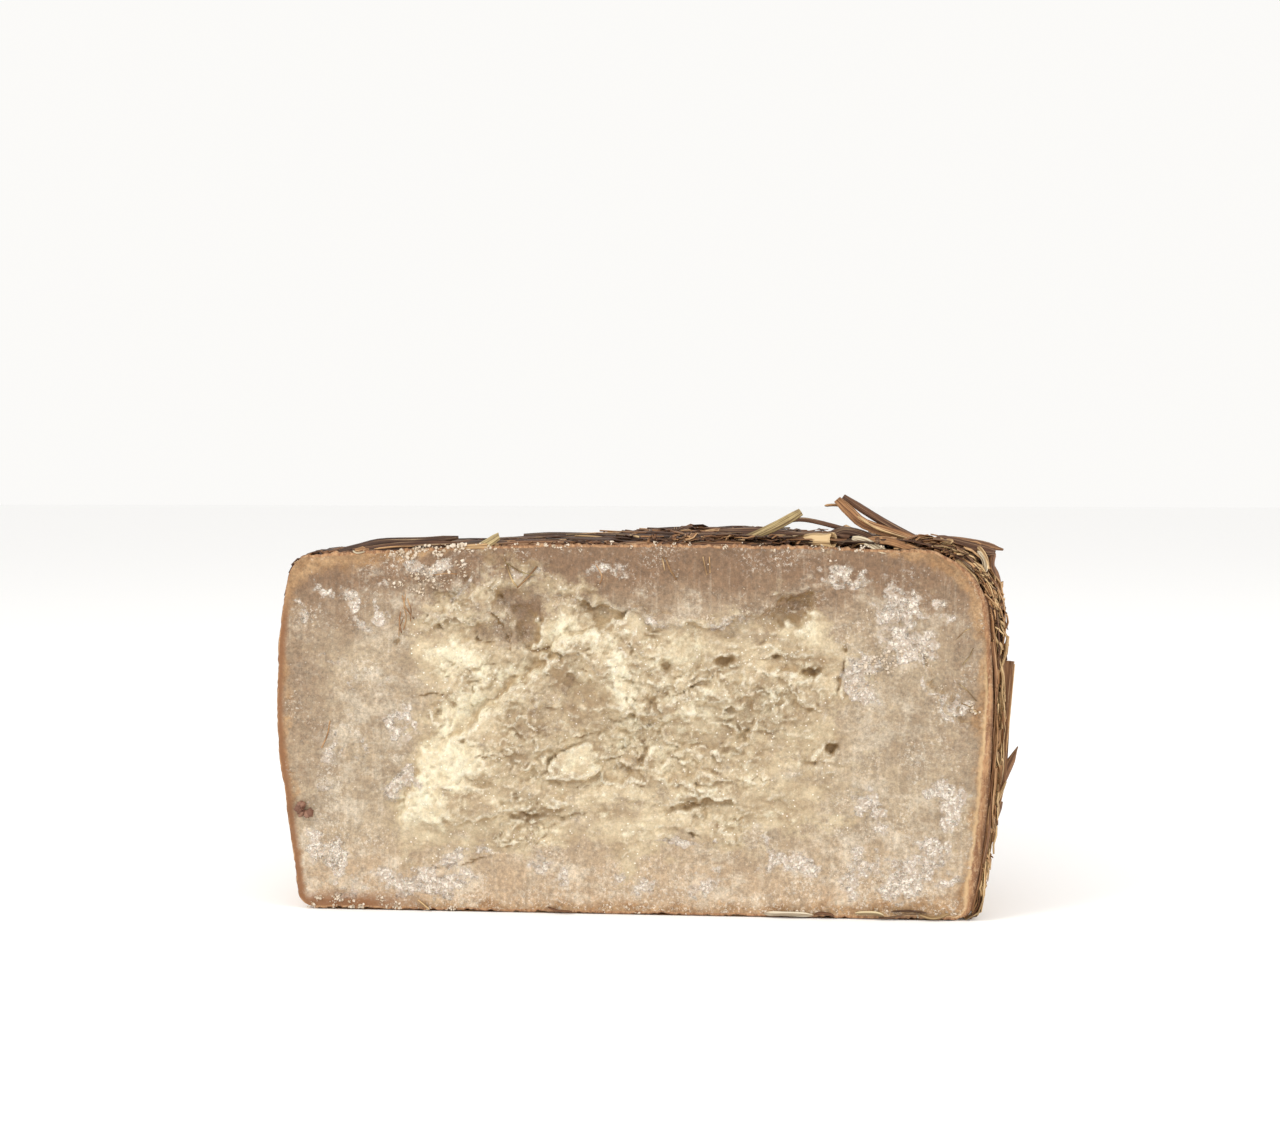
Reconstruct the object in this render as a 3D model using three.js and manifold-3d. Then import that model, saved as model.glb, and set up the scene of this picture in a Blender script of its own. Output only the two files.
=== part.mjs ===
// Half a wheel of hard sheep's-milk cheese that was aged in hay.
//
// The wheel stands on its flat base. It was scored all round with a knife and then split, so its upright
// face has a smooth cut border and a craggy broken middle. Flattened hay stems are pressed into the rind
// on the top and round the side, and a few loose stems stand away from it.
//
// Millimetres, +Z up. The split face looks along -Y. Everything is drawn with the origin on the wheel's axis,
// and moved at the end so that the origin is under the middle of the half wheel.

import * as THREE from "three";
import { mergeVertices } from "three/addons/utils/BufferGeometryUtils.js";
import Module from "manifold-3d";

const wasm = await Module();
wasm.setup();

// ---- Driving dimensions ----

const WIDEST_RADIUS = 102.5; // the bulging side, at BULGE_HEIGHT
const BULGE_HEIGHT = 62;
const BASE_RADIUS = 96.5;
const TOP_RADIUS = 98.5;
const CROWN_HEIGHT = 106.3; // the domed top, on the wheel's axis
const BASE_CORNER = 5; // radius between the base and the side

// The side and the top meet differently at the two ends of the split face.
const RIGHT_END = { edgeHeight: 104.2, shoulder: 16 };
const LEFT_END = { edgeHeight: 102.4, shoulder: 6 };

const LUMP_HEIGHT = 0.6; // how uneven the rind is
const LUMP_SPACING = 26;

const RIND_TURN_STEPS = 48; // facets round a whole wheel
const SIDE_STEPS = 6;
const CORNER_STEPS = 2;
const SHOULDER_STEPS = 4;
const CROWN_STEPS = 3;

// The split face is a grid that is finer in the middle, where the cheese broke.
const FACE_STEPS_X = 68;
const FACE_STEPS_Z = 36;
const FACE_HALF_WIDTH = 112;
const FACE_HALF_HEIGHT = 62;
const FACE_MIDDLE_Z = 56;
const FINE_SHARE = 0.6; // grid spacing in the middle, as a share of the mean spacing
const FACE_REACH_BACK = 125;

// From the wheel's axis to the middle of the finished piece, hay included.
const MIDDLE_X = 3.5;
const MIDDLE_Y = 48.8;

// ---- Seeded noise ----

const lerp = (a, b, t) => a + (b - a) * t;
const clamp = (v, low, high) => Math.min(Math.max(v, low), high);
const smooth = (t) => t * t * (3 - 2 * t);
const smoothStep = (low, high, v) => smooth(clamp((v - low) / (high - low), 0, 1));

// A number from 0 to 1 that depends only on a grid cell and a seed.
function cellValue(i, j, seed) {
  let n = (Math.imul(i, 374761393) + Math.imul(j, 668265263) + Math.imul(seed, 1442695041)) | 0;
  n = Math.imul(n ^ (n >>> 13), 1274126177);
  return ((n ^ (n >>> 16)) >>> 0) / 4294967296;
}

// Smooth noise from -1 to 1, one cell to a unit.
function noise(u, v, seed) {
  const i = Math.floor(u);
  const j = Math.floor(v);
  const s = smooth(u - i);
  const t = smooth(v - j);
  const low = lerp(cellValue(i, j, seed), cellValue(i + 1, j, seed), s);
  const high = lerp(cellValue(i, j + 1, seed), cellValue(i + 1, j + 1, seed), s);
  return 2 * lerp(low, high, t) - 1;
}

// Broken plates: each cell round a scattered point is a tilted facet, with a step to its neighbours.
function plates(u, v, seed) {
  const i0 = Math.floor(u);
  const j0 = Math.floor(v);
  let nearest = Infinity;
  let height = 0;
  for (let i = i0 - 1; i <= i0 + 1; i++) {
    for (let j = j0 - 1; j <= j0 + 1; j++) {
      const du = u - i - cellValue(i, j, seed);
      const dv = v - j - cellValue(i, j, seed + 1);
      const apart = du * du + dv * dv;
      if (apart < nearest) {
        nearest = apart;
        const level = 2 * cellValue(i, j, seed + 2) - 1;
        const tiltU = 2 * cellValue(i, j, seed + 3) - 1;
        const tiltV = 2 * cellValue(i, j, seed + 4) - 1;
        height = level + tiltU * du + tiltV * dv;
      }
    }
  }
  return height;
}

// A repeatable sequence of random numbers from 0 to 1.
function randomSequence(seed) {
  let state = seed;
  return () => {
    state = (state + 0x6d2b79f5) | 0;
    let t = Math.imul(state ^ (state >>> 15), 1 | state);
    t = (t + Math.imul(t ^ (t >>> 7), 61 | t)) ^ t;
    return ((t ^ (t >>> 14)) >>> 0) / 4294967296;
  };
}

// ---- The wheel's outer shape ----

// 0 at the right end of the split face, 1 at the left end.
const leftness = (x, y) => smooth((1 - x / Math.max(Math.hypot(x, y), 1e-6)) / 2);

// Radius of the bulging side at a height, before its corners are rounded.
function sideRadius(z) {
  if (z < BULGE_HEIGHT) {
    return lerp(WIDEST_RADIUS, BASE_RADIUS, ((BULGE_HEIGHT - z) / BULGE_HEIGHT) ** 2);
  }
  const rise = (z - BULGE_HEIGHT) / (LEFT_END.edgeHeight - BULGE_HEIGHT);
  return lerp(WIDEST_RADIUS, TOP_RADIUS, rise ** 2);
}

// The profile from the middle of the base, up the side, to the middle of the top.
function wheelProfile({ edgeHeight, shoulder }) {
  const points = [new THREE.Vector2(0, 0)];
  for (let i = 0; i <= CORNER_STEPS; i++) {
    const a = (i / CORNER_STEPS) * (Math.PI / 2);
    const r = BASE_RADIUS - BASE_CORNER * (1 - Math.sin(a));
    points.push(new THREE.Vector2(r, BASE_CORNER * (1 - Math.cos(a))));
  }
  const sideTop = edgeHeight - shoulder;
  for (let i = 1; i <= SIDE_STEPS; i++) {
    const z = lerp(BASE_CORNER, sideTop, i / SIDE_STEPS);
    points.push(new THREE.Vector2(sideRadius(z), z));
  }
  const shoulderRadius = sideRadius(sideTop);
  for (let i = 1; i <= SHOULDER_STEPS; i++) {
    const a = (i / SHOULDER_STEPS) * (Math.PI / 2);
    const r = shoulderRadius - shoulder * (1 - Math.cos(a));
    const dome = lerp(CROWN_HEIGHT, edgeHeight, (r / TOP_RADIUS) ** 2);
    points.push(new THREE.Vector2(r, dome - shoulder * (1 - Math.sin(a))));
  }
  const flatRadius = points.at(-1).x;
  for (let i = 1; i <= CROWN_STEPS; i++) {
    const r = flatRadius * (1 - i / CROWN_STEPS);
    points.push(new THREE.Vector2(r, lerp(CROWN_HEIGHT, edgeHeight, (r / TOP_RADIUS) ** 2)));
  }
  return points;
}

// The whole wheel: two lathed shapes, one for each end's shoulder, blended from right to left.
function wheelGeometry() {
  const right = new THREE.LatheGeometry(wheelProfile(RIGHT_END), RIND_TURN_STEPS).rotateX(Math.PI / 2);
  const left = new THREE.LatheGeometry(wheelProfile(LEFT_END), RIND_TURN_STEPS).rotateX(Math.PI / 2);
  const position = right.getAttribute("position");
  const other = left.getAttribute("position");
  const point = new THREE.Vector3();
  const target = new THREE.Vector3();
  for (let i = 0; i < position.count; i++) {
    point.fromBufferAttribute(position, i);
    target.fromBufferAttribute(other, i);
    point.lerp(target, leftness(point.x, point.y));
    const lump = LUMP_HEIGHT * noise(point.x / LUMP_SPACING, (point.y + point.z) / LUMP_SPACING, 11);
    const swell = 1 + (lump / WIDEST_RADIUS) * smoothStep(0, BASE_CORNER * 2, point.z);
    position.setXYZ(i, point.x * swell, point.y * swell, Math.max(point.z, 0));
  }
  return right;
}

// ---- The split face ----

// How far the broken middle reaches from BROKEN_CENTRE, every 22.5 degrees from +X towards +Z.
const BROKEN_CENTRE = { x: 0, z: 55 };
const BROKEN_REACH = [64, 62, 44, 34, 33, 42, 56, 69, 68, 71, 54, 38, 34, 37, 49, 64];
const BROKEN_EDGE_WANDER = 3;

// Ledges: a line of [x, z] points where the face steps. Going along the line, the parts to its left and
// right stand out by a height (into the cheese where negative) that fades over a reach. The step itself is
// as wide as twice its softness.
const LEDGES = [
  {
    name: "main ridge",
    line: [[-4, 84], [-20, 79], [-27, 70], [-36, 63], [-50, 52], [-60, 45], [-64, 36], [-63, 29], [-66, 22]],
    left: { height: 3.4, reach: 22 },
    right: { height: -1.6, reach: 11 },
    softness: 2.6,
  },
  {
    name: "lower edge of the smooth plate",
    line: [[-9, 89], [8, 84], [20, 81], [30, 84], [38, 87], [47, 93], [60, 95]],
    left: { height: 0.5, reach: 10 },
    right: { height: -3.2, reach: 12 },
    softness: 1,
  },
  {
    name: "low shelf",
    line: [[-46, 27], [-30, 30], [-14, 30], [0, 33], [24, 32]],
    left: { height: 1.3, reach: 8 },
    right: { height: -1.8, reach: 5 },
    softness: 0.8,
  },
  {
    name: "right-hand edge",
    line: [[62, 80], [60, 70], [61, 62], [63, 55]],
    left: { height: -1.6, reach: 4 },
    right: { height: 1.2, reach: 10 },
    softness: 0.7,
  },
  {
    name: "notch wall",
    line: [[32, 60], [31, 52], [32, 45]],
    left: { height: 0.8, reach: 6 },
    right: { height: -2, reach: 8 },
    softness: 1.2,
  },
  {
    name: "flake",
    line: [[-22, 44], [-15, 49], [-8, 47], [-7, 40], [-14, 38], [-21, 39]],
    left: { height: -1, reach: 4 },
    right: { height: 1.8, reach: 6 },
    softness: 0.7,
  },
  {
    name: "shelf under the plate",
    line: [[20, 66], [33, 71], [48, 69], [58, 70]],
    left: { height: -1.2, reach: 5 },
    right: { height: 1.5, reach: 8 },
    softness: 1,
  },
  {
    name: "middle shelf",
    line: [[-2, 58], [12, 57], [24, 60]],
    left: { height: 1, reach: 6 },
    right: { height: -1.2, reach: 6 },
    softness: 1,
  },
];

// Hollows and swells: an ellipse with its half sizes, and how far it stands out.
const SWELLS = [
  { name: "middle basin", x: 8, z: 50, halfX: 30, halfZ: 12, height: -3 },
  { name: "nose", x: -5, z: 70, halfX: 4.5, halfZ: 10, height: 2.2 },
  { name: "pocket", x: -33, z: 87, halfX: 6, halfZ: 8, height: -4.2 },
  { name: "pocket floor", x: -39, z: 79, halfX: 8, halfZ: 4, height: -1.8 },
  { name: "hollow under the plate", x: 40, z: 86, halfX: 8, halfZ: 5, height: -3 },
  { name: "knob beside the hollow", x: 53, z: 82, halfX: 7, halfZ: 9, height: 2.4 },
  { name: "bright shoulder", x: -51, z: 44, halfX: 9, halfZ: 10, height: 2 },
  { name: "cup beside the nose", x: -19, z: 66, halfX: 7, halfZ: 5, height: -3 },
  { name: "right-hand swell", x: 33, z: 66, halfX: 14, halfZ: 6, height: 1.4 },
  { name: "three-cornered pit", x: 25, z: 72, halfX: 2.4, halfZ: 2.4, height: -3 },
  { name: "deep pit", x: 57, z: 50, halfX: 2.4, halfZ: 1.6, height: -4 },
  { name: "upper right pit", x: 46, z: 70, halfX: 3, halfZ: 1.6, height: -2.6 },
  { name: "lower left lobe", x: -58, z: 26, halfX: 6, halfZ: 7, height: 1.6 },
  { name: "lump over the ridge", x: -20, z: 84, halfX: 8, halfZ: 4, height: 1.8 },
];
const FORM_FADE = 9; // how gradually the ledges and swells end at the edge of the broken middle

// Broken surface on top of those forms: tilted chips, and rounded crumbs with creases between them.
const CHIPS = [
  { sizeX: 17, sizeZ: 9, height: 0.7, seed: 51 },
  { sizeX: 5.6, sizeZ: 3.6, height: 0.5, seed: 52 },
];
const CRUMBS = [
  { size: 10.5, height: 1.25, turn: 0.4, seed: 61 },
  { size: 5.6, height: 0.95, turn: 1.3, seed: 62 },
  { size: 3.2, height: 0.7, turn: 2.2, seed: 63 },
];
const CRUMB_STRETCH = 1.3; // crumbs are wider than they are tall
const CRUMB_MIDDLE = 0.62; // share of a crumb's height that lies behind the face
const WARP_SPACING = 9;
const WARP_X = 2.6;
const WARP_Z = 1.7;

// A low slanting step in the knife-cut border, near the right-hand rind.
const BORDER_STEP = {
  line: [[82, 66], [88, 59], [101, 52]],
  left: { height: -0.3, reach: 9 },
  right: { height: 0.7, reach: 11 },
  softness: 1.4,
};
const BORDER_WAVE = 0.25; // how uneven the knife cut is
const BORDER_WAVE_SPACING = 17;

// How far inside the edge of the broken middle a point is. It is negative on the knife-cut border.
function brokenDepth(x, z) {
  const dx = x - BROKEN_CENTRE.x;
  const dz = z - BROKEN_CENTRE.z;
  const count = BROKEN_REACH.length;
  const turn = ((Math.atan2(dz, dx) / (2 * Math.PI) + 1) % 1) * count;
  const i = Math.floor(turn);
  const reach = lerp(BROKEN_REACH[i % count], BROKEN_REACH[(i + 1) % count], smooth(turn - i));
  const wander = BROKEN_EDGE_WANDER * noise(x / 6, z / 4, 21) + 1.4 * noise(x / 2.3, z / 1.6, 22);
  return reach + wander - Math.hypot(dx, dz);
}

// The height that a ledge adds at a point.
function ledgeHeight({ line, left, right, softness }, x, z) {
  let nearest = Infinity;
  let side = 1;
  for (let i = 0; i + 1 < line.length; i++) {
    const [ax, az] = line[i];
    const ex = line[i + 1][0] - ax;
    const ez = line[i + 1][1] - az;
    const along = clamp(((x - ax) * ex + (z - az) * ez) / (ex * ex + ez * ez), 0, 1);
    const dx = x - ax - along * ex;
    const dz = z - az - along * ez;
    const apart = Math.hypot(dx, dz);
    if (apart < nearest - 1e-9) {
      nearest = apart;
      side = ex * dz - ez * dx > 0 ? 1 : -1;
    }
  }
  const onRight = right.height * Math.exp(-((nearest / right.reach) ** 2));
  const onLeft = left.height * Math.exp(-((nearest / left.reach) ** 2));
  return lerp(onRight, onLeft, smoothStep(-softness, softness, side * nearest));
}

function swellHeight({ x: cx, z: cz, halfX, halfZ, height }, x, z) {
  return height * Math.exp(-(((x - cx) / halfX) ** 2 + ((z - cz) / halfZ) ** 2));
}

function crumbHeight({ size, height, turn, seed }, x, z) {
  const wide = x / CRUMB_STRETCH;
  const u = wide * Math.cos(turn) + z * Math.sin(turn);
  const v = z * Math.cos(turn) - wide * Math.sin(turn);
  return height * (2 * Math.abs(noise(u / size, v / size, seed)) - CRUMB_MIDDLE);
}

// How far the face stands out from the plane of the cut, towards -Y.
function faceRelief(x, z) {
  const depth = brokenDepth(x, z);
  const fade = (size) => smoothStep(-0.4 * size, 0.9 * size, depth);
  const wave = BORDER_WAVE * noise(x / BORDER_WAVE_SPACING, z / BORDER_WAVE_SPACING, 31);
  const wx = x + WARP_X * noise(x / WARP_SPACING, z / WARP_SPACING, 41);
  const wz = z + WARP_Z * noise(x / WARP_SPACING, z / WARP_SPACING, 42);
  let forms = 0;
  for (const ledge of LEDGES) forms += ledgeHeight(ledge, wx, wz);
  for (const swell of SWELLS) forms += swellHeight(swell, wx, wz);
  const border = wave + ledgeHeight(BORDER_STEP, x, z);
  let height = border * (1 - smoothStep(-1.5, 2.5, depth)) + forms * fade(FORM_FADE);
  for (const chip of CHIPS) {
    const level = chip.height * plates(wx / chip.sizeX, wz / chip.sizeZ, chip.seed);
    height += level * fade(chip.sizeX / 2);
  }
  for (const crumb of CRUMBS) height += crumbHeight(crumb, wx, wz) * fade(crumb.size);
  return height;
}

// A block behind the split face. What of the wheel lies in it is kept.
function faceBlockGeometry() {
  const block = new THREE.BoxGeometry(2, 2, 2, FACE_STEPS_X, FACE_STEPS_Z, 1).rotateX(Math.PI / 2);
  const spread = (u) => u * lerp(FINE_SHARE, 1, u * u);
  const position = block.getAttribute("position");
  for (let i = 0; i < position.count; i++) {
    const x = FACE_HALF_WIDTH * spread(position.getX(i));
    const z = FACE_MIDDLE_Z + FACE_HALF_HEIGHT * spread(position.getZ(i));
    const front = position.getY(i) < 0;
    position.setXYZ(i, x, front ? -faceRelief(x, z) : FACE_REACH_BACK, z);
  }
  return block;
}

// ---- Hay ----

const STEM_THICKNESS = 0.9; // a flattened stem
const STEM_SUNK = 0.9; // how deep the pressed-in end of a stem lies in the rind
const STEM_STEP = { across: 24, down: 15 }; // length of one straight piece of a bent stem

// Stems scattered over the rind. Reach is measured over the surface from the middle of the top. Angles
// are in degrees round the wheel from the right end of the split face, and turns are measured from the
// way the stems mostly run. Crowding above 1 gathers them towards the right end.
const TOP_HAY = {
  seed: 101,
  count: 36,
  reach: [4, 92],
  angle: [-4, 172],
  turn: [-38, 38],
  length: [26, 64],
  width: [2.4, 5],
  lift: [0.3, 3.6],
  crowding: 1,
  runs: "across",
};
const SIDE_HAY = {
  seed: 202,
  count: 28,
  reach: [118, 186],
  angle: [-1, 150],
  turn: [-24, 24],
  length: [22, 50],
  width: [2.4, 5],
  lift: [0.2, 1.9],
  crowding: 1.4,
  runs: "down",
};
const CORNER_HAY = {
  seed: 303,
  count: 14,
  reach: [99, 112],
  angle: [0, 96],
  turn: [-30, 30],
  length: [30, 48],
  width: [1.8, 3.8],
  lift: [2, 6],
  crowding: 2.2,
  runs: "down",
};
const LEFT_THINNING = 0.75; // share of the lift lost towards the left end, where the rind is nearly bare

// Single stems that stand out from the rest, each along [x, y, z] points.
const LOOSE_STEMS = [
  {
    name: "raised stem, front half",
    path: [[93, 6, 102], [85.7, 4, 106.4], [70.3, 6, 113.6], [59.3, 8, 119.2]],
    faces: [0.3, -0.6, 0.7],
    width: 2.4,
  },
  {
    name: "raised stem, back half",
    path: [[95, 10, 101], [86.5, 8, 107.4], [74, 9.4, 114.2], [62.5, 11, 119.6]],
    faces: [0.3, -0.6, 0.7],
    width: 2.2,
  },
  {
    name: "upright stem",
    path: [[100.8, 6, 26], [104.2, 6, 40], [105.6, 6, 58], [106.8, 6, 73.8]],
    faces: [0.25, -0.96, 0],
    width: 3.7,
  },
  {
    name: "upright stem's folded edge",
    path: [[101, 7.4, 44], [104.6, 6.6, 52], [105, 5.4, 60], [105.3, 5.2, 72.6]],
    faces: [0.95, -0.3, 0],
    width: 1.8,
  },
  {
    name: "side spike",
    path: [[98.6, 5.5, 24], [103.2, 5, 34], [105.6, 5, 40], [109.6, 5, 49.2]],
    faces: [0.3, -0.95, 0],
    width: 2.6,
    endWidth: 0.3,
  },
  {
    name: "side stub",
    path: [[98, 7, 22], [102.4, 6, 27.6], [104.6, 6, 33.4]],
    faces: [0.5, -0.86, 0],
    width: 3.8,
  },
  {
    name: "corner spike",
    path: [[78, 16, 104.2], [88, 16, 107.4], [98, 15, 106.6], [105.8, 14, 104.6]],
    faces: [0, -0.4, 0.92],
    width: 3.4,
    endWidth: 0.4,
  },
  {
    name: "small spike",
    path: [[95.6, 6, 84], [100.4, 7, 89.4], [104.9, 8, 95.4]],
    faces: [0.4, -0.9, 0.2],
    width: 2.2,
    endWidth: 0.3,
  },
  {
    name: "straw rising from the top",
    path: [[24, 8, 104.6], [33.5, 6, 108.4], [48, 8, 115]],
    faces: [0, -0.8, 0.6],
    width: 2.4,
  },
  {
    name: "short straw at the front edge",
    path: [[-48, 3, 103.4], [-42.9, 1.4, 105.6], [-37.7, 0, 108.6]],
    faces: [0, -0.8, 0.6],
    width: 3.2,
  },
];

// Round stems that kept their shape, from one end to the other, the second end hollow.
const ROUND_STEMS = [
  { name: "hollow stem", from: [44, 5, 106.6], to: [58.1, 0.8, 107.6], radius: 2, bore: 1.5 },
  { name: "corner stem", from: [90, 16, 101.5], to: [98.1, 2, 103.4], radius: 1.6, bore: 1 },
];
const BORE_DEPTH = 7;
const ROUND_STEM_SIDES = 8;

// The rind's surface at a point of its unrolled map, whose middle is the middle of the top.
function rindAt(u, v) {
  const angle = Math.atan2(v, u);
  const share = leftness(u, v);
  const left = wheelProfile(LEFT_END);
  const profile = wheelProfile(RIGHT_END).map((p, i) => p.lerp(left[i], share)).reverse();
  let reach = Math.hypot(u, v);
  let i = 0;
  while (i + 3 < profile.length && reach > profile[i].distanceTo(profile[i + 1])) {
    reach -= profile[i].distanceTo(profile[i + 1]);
    i += 1;
  }
  const along = profile[i + 1].clone().sub(profile[i]).normalize();
  const radius = profile[i].x + along.x * reach;
  const height = profile[i].y + along.y * reach;
  return {
    point: new THREE.Vector3(radius * Math.cos(angle), radius * Math.sin(angle), height),
    normal: new THREE.Vector3(-along.y * Math.cos(angle), -along.y * Math.sin(angle), along.x),
  };
}

// A flat strip bent along points, with its broad side facing the normals.
function stripGeometry(points, normals, width, endWidth = width) {
  const steps = points.length - 1;
  const strip = new THREE.BoxGeometry(1, STEM_THICKNESS, steps, 1, 1, steps);
  const position = strip.getAttribute("position");
  const along = new THREE.Vector3();
  const across = new THREE.Vector3();
  for (let i = 0; i < position.count; i++) {
    const step = Math.round(position.getZ(i) + steps / 2);
    along.subVectors(points[Math.min(step + 1, steps)], points[Math.max(step - 1, 0)]).normalize();
    across.crossVectors(normals[step], along).normalize();
    const half = position.getX(i) * lerp(width, endWidth, smoothStep(0.5, 1, step / steps));
    const point = points[step].clone().addScaledVector(across, half);
    point.addScaledVector(along.cross(across), position.getY(i));
    position.setXYZ(i, point.x, point.y, Math.max(point.z, 0.2));
  }
  return strip;
}

// One stem pressed to the rind: sunk in at its first end, and lying on other stems further along.
function pressedStem(hay, random) {
  const between = ([low, high]) => lerp(low, high, random());
  const round = lerp(hay.angle[0], hay.angle[1], random() ** hay.crowding);
  const angle = THREE.MathUtils.degToRad(round);
  const reach = hay.runs === "across" ? Math.sqrt(between(hay.reach.map((r) => r * r))) : between(hay.reach);
  const main = hay.runs === "across" ? (random() < 0.5 ? 0 : Math.PI) : angle;
  const heading = main + THREE.MathUtils.degToRad(between(hay.turn));
  const length = between(hay.length);
  const width = between(hay.width);
  const bow = length * 0.06 * (2 * random() - 1);
  const thinning = 1 - LEFT_THINNING * smoothStep(0.35, 0.95, leftness(Math.cos(angle), Math.sin(angle)));
  const lift = between(hay.lift) * thinning;
  const steps = Math.max(2, Math.round(length / STEM_STEP[hay.runs]));
  const points = [];
  const normals = [];
  for (let i = 0; i <= steps; i++) {
    const t = i / steps;
    const ahead = (t - 0.5) * length;
    const aside = bow * Math.sin(Math.PI * t);
    const u = reach * Math.cos(angle) + ahead * Math.cos(heading) - aside * Math.sin(heading);
    const v = reach * Math.sin(angle) + ahead * Math.sin(heading) + aside * Math.cos(heading);
    const { point, normal } = rindAt(u, v);
    const rise = hay === CORNER_HAY ? Math.sin(Math.PI * t) : smoothStep(0, 0.4, t);
    points.push(point.addScaledVector(normal, lerp(-STEM_SUNK, lift, rise)));
    normals.push(normal);
  }
  return stripGeometry(points, normals, width, width * lerp(0.4, 1, random()));
}

function looseStem({ path, faces, width, endWidth }) {
  const curve = new THREE.CatmullRomCurve3(path.map((p) => new THREE.Vector3(...p)));
  const points = curve.getPoints(2 * (path.length - 1));
  const normal = new THREE.Vector3(...faces).normalize();
  return stripGeometry(points, points.map(() => normal), width, endWidth);
}

// A cylinder between two points.
function rodGeometry(from, to, radius) {
  const axis = to.clone().sub(from);
  const upright = new THREE.Vector3(0, 1, 0);
  const turn = new THREE.Quaternion().setFromUnitVectors(upright, axis.clone().normalize());
  const rod = new THREE.CylinderGeometry(radius, radius, axis.length(), ROUND_STEM_SIDES, 1);
  return rod.applyQuaternion(turn).translate(...from.clone().add(to).multiplyScalar(0.5).toArray());
}

function roundStem({ from, to, radius, bore }) {
  const start = new THREE.Vector3(...from);
  const end = new THREE.Vector3(...to);
  const along = end.clone().sub(start).normalize();
  const inner = end.clone().addScaledVector(along, -BORE_DEPTH);
  const hole = rodGeometry(inner, end.clone().addScaledVector(along, 1), bore);
  return solid(rodGeometry(start, end, radius)).subtract(solid(hole));
}

// ---- Joining ----

const LEAST_DETAIL = 0.05; // slivers left by the joins that are thinner than this are closed up

// A closed body from a geometry. Faces that shrink to a line, as at a lathe's axis, are dropped.
function solid(geometry) {
  const bare = new THREE.BufferGeometry();
  bare.setAttribute("position", geometry.getAttribute("position").clone());
  bare.setIndex(geometry.getIndex());
  const merged = mergeVertices(bare, 1e-4);
  const index = merged.getIndex().array;
  const kept = [];
  for (let i = 0; i < index.length; i += 3) {
    const [a, b, c] = [index[i], index[i + 1], index[i + 2]];
    if (a !== b && b !== c && c !== a) kept.push(a, b, c);
  }
  const vertProperties = new Float32Array(merged.getAttribute("position").array);
  return new wasm.Manifold(new wasm.Mesh({ numProp: 3, vertProperties, triVerts: new Uint32Array(kept) }));
}

function scattered(hay) {
  const random = randomSequence(hay.seed);
  return Array.from({ length: hay.count }, () => solid(pressedStem(hay, random)));
}

// The half wheel with the hay that the knife cut off level with its face, and the loose stems.
function pecorinoSolid() {
  const block = solid(faceBlockGeometry());
  const pressed = [TOP_HAY, SIDE_HAY, CORNER_HAY].flatMap(scattered);
  const hay = wasm.Manifold.union(pressed);
  const half = solid(wheelGeometry()).add(hay).intersect(block);
  const loose = LOOSE_STEMS.map((stem) => solid(looseStem(stem))).concat(ROUND_STEMS.map(roundStem));
  const joined = wasm.Manifold.union([half, ...loose]).translate([-MIDDLE_X, -MIDDLE_Y, 0]);
  const bodies = joined.simplify(LEAST_DETAIL).decompose();
  return bodies.reduce((best, body) => (body.volume() > best.volume() ? body : best));
}

function meshGeometry(body) {
  const { vertProperties, triVerts } = body.getMesh();
  const geometry = new THREE.BufferGeometry();
  geometry.setAttribute("position", new THREE.BufferAttribute(new Float32Array(vertProperties), 3));
  geometry.setIndex(new THREE.BufferAttribute(new Uint32Array(triVerts), 1));
  geometry.computeVertexNormals();
  return geometry;
}

const pecorino = new THREE.Mesh(
  meshGeometry(pecorinoSolid()),
  new THREE.MeshStandardMaterial({ color: 0xd9c9a8, roughness: 0.75 }),
);
pecorino.name = "pecorino";

const group = new THREE.Group();
group.name = "pecorino_half";
group.add(pecorino);

export default group;
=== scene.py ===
import math

import bpy
import numpy as np
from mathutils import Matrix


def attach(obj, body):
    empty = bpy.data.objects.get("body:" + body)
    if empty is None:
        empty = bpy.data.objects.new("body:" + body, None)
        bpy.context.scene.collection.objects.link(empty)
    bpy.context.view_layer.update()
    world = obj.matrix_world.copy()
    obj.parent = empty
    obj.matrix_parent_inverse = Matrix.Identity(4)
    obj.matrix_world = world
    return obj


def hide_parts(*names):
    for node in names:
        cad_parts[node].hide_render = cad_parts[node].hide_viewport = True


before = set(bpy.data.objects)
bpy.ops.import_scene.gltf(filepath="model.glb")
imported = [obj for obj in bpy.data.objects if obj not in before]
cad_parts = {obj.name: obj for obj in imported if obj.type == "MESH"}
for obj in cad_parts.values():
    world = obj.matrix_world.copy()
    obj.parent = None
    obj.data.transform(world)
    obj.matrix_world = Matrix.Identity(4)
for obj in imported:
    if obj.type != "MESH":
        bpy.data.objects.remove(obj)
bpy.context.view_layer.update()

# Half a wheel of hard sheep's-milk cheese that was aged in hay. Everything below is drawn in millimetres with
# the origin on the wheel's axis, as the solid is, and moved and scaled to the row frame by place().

# The middle of the solid's base, from the wheel's axis.
MIDDLE = np.array([3.5, 48.8, 0.0])

# ---- The wheel ----

WIDEST_RADIUS, BASE_RADIUS, TOP_RADIUS = 102.5, 96.5, 98.5
BULGE_HEIGHT, CROWN_HEIGHT = 62, 106.3
BASE_CORNER = 5
RIGHT_EDGE_HEIGHT, RIGHT_SHOULDER = 104.2, 16
LEFT_EDGE_HEIGHT, LEFT_SHOULDER = 102.4, 6
LUMP_HEIGHT, LUMP_SPACING = 0.6, 26

# ---- The split face: tables of places on it, in x and z ----

# The broken middle: its centre, and how far it reaches in directions evenly spaced round that.
BROKEN_CENTRE = (0, 55)
BROKEN_REACH = (64, 65, 58, 36, 33, 46, 68, 70, 61, 75, 54, 38, 34, 37, 49, 64)

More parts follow.
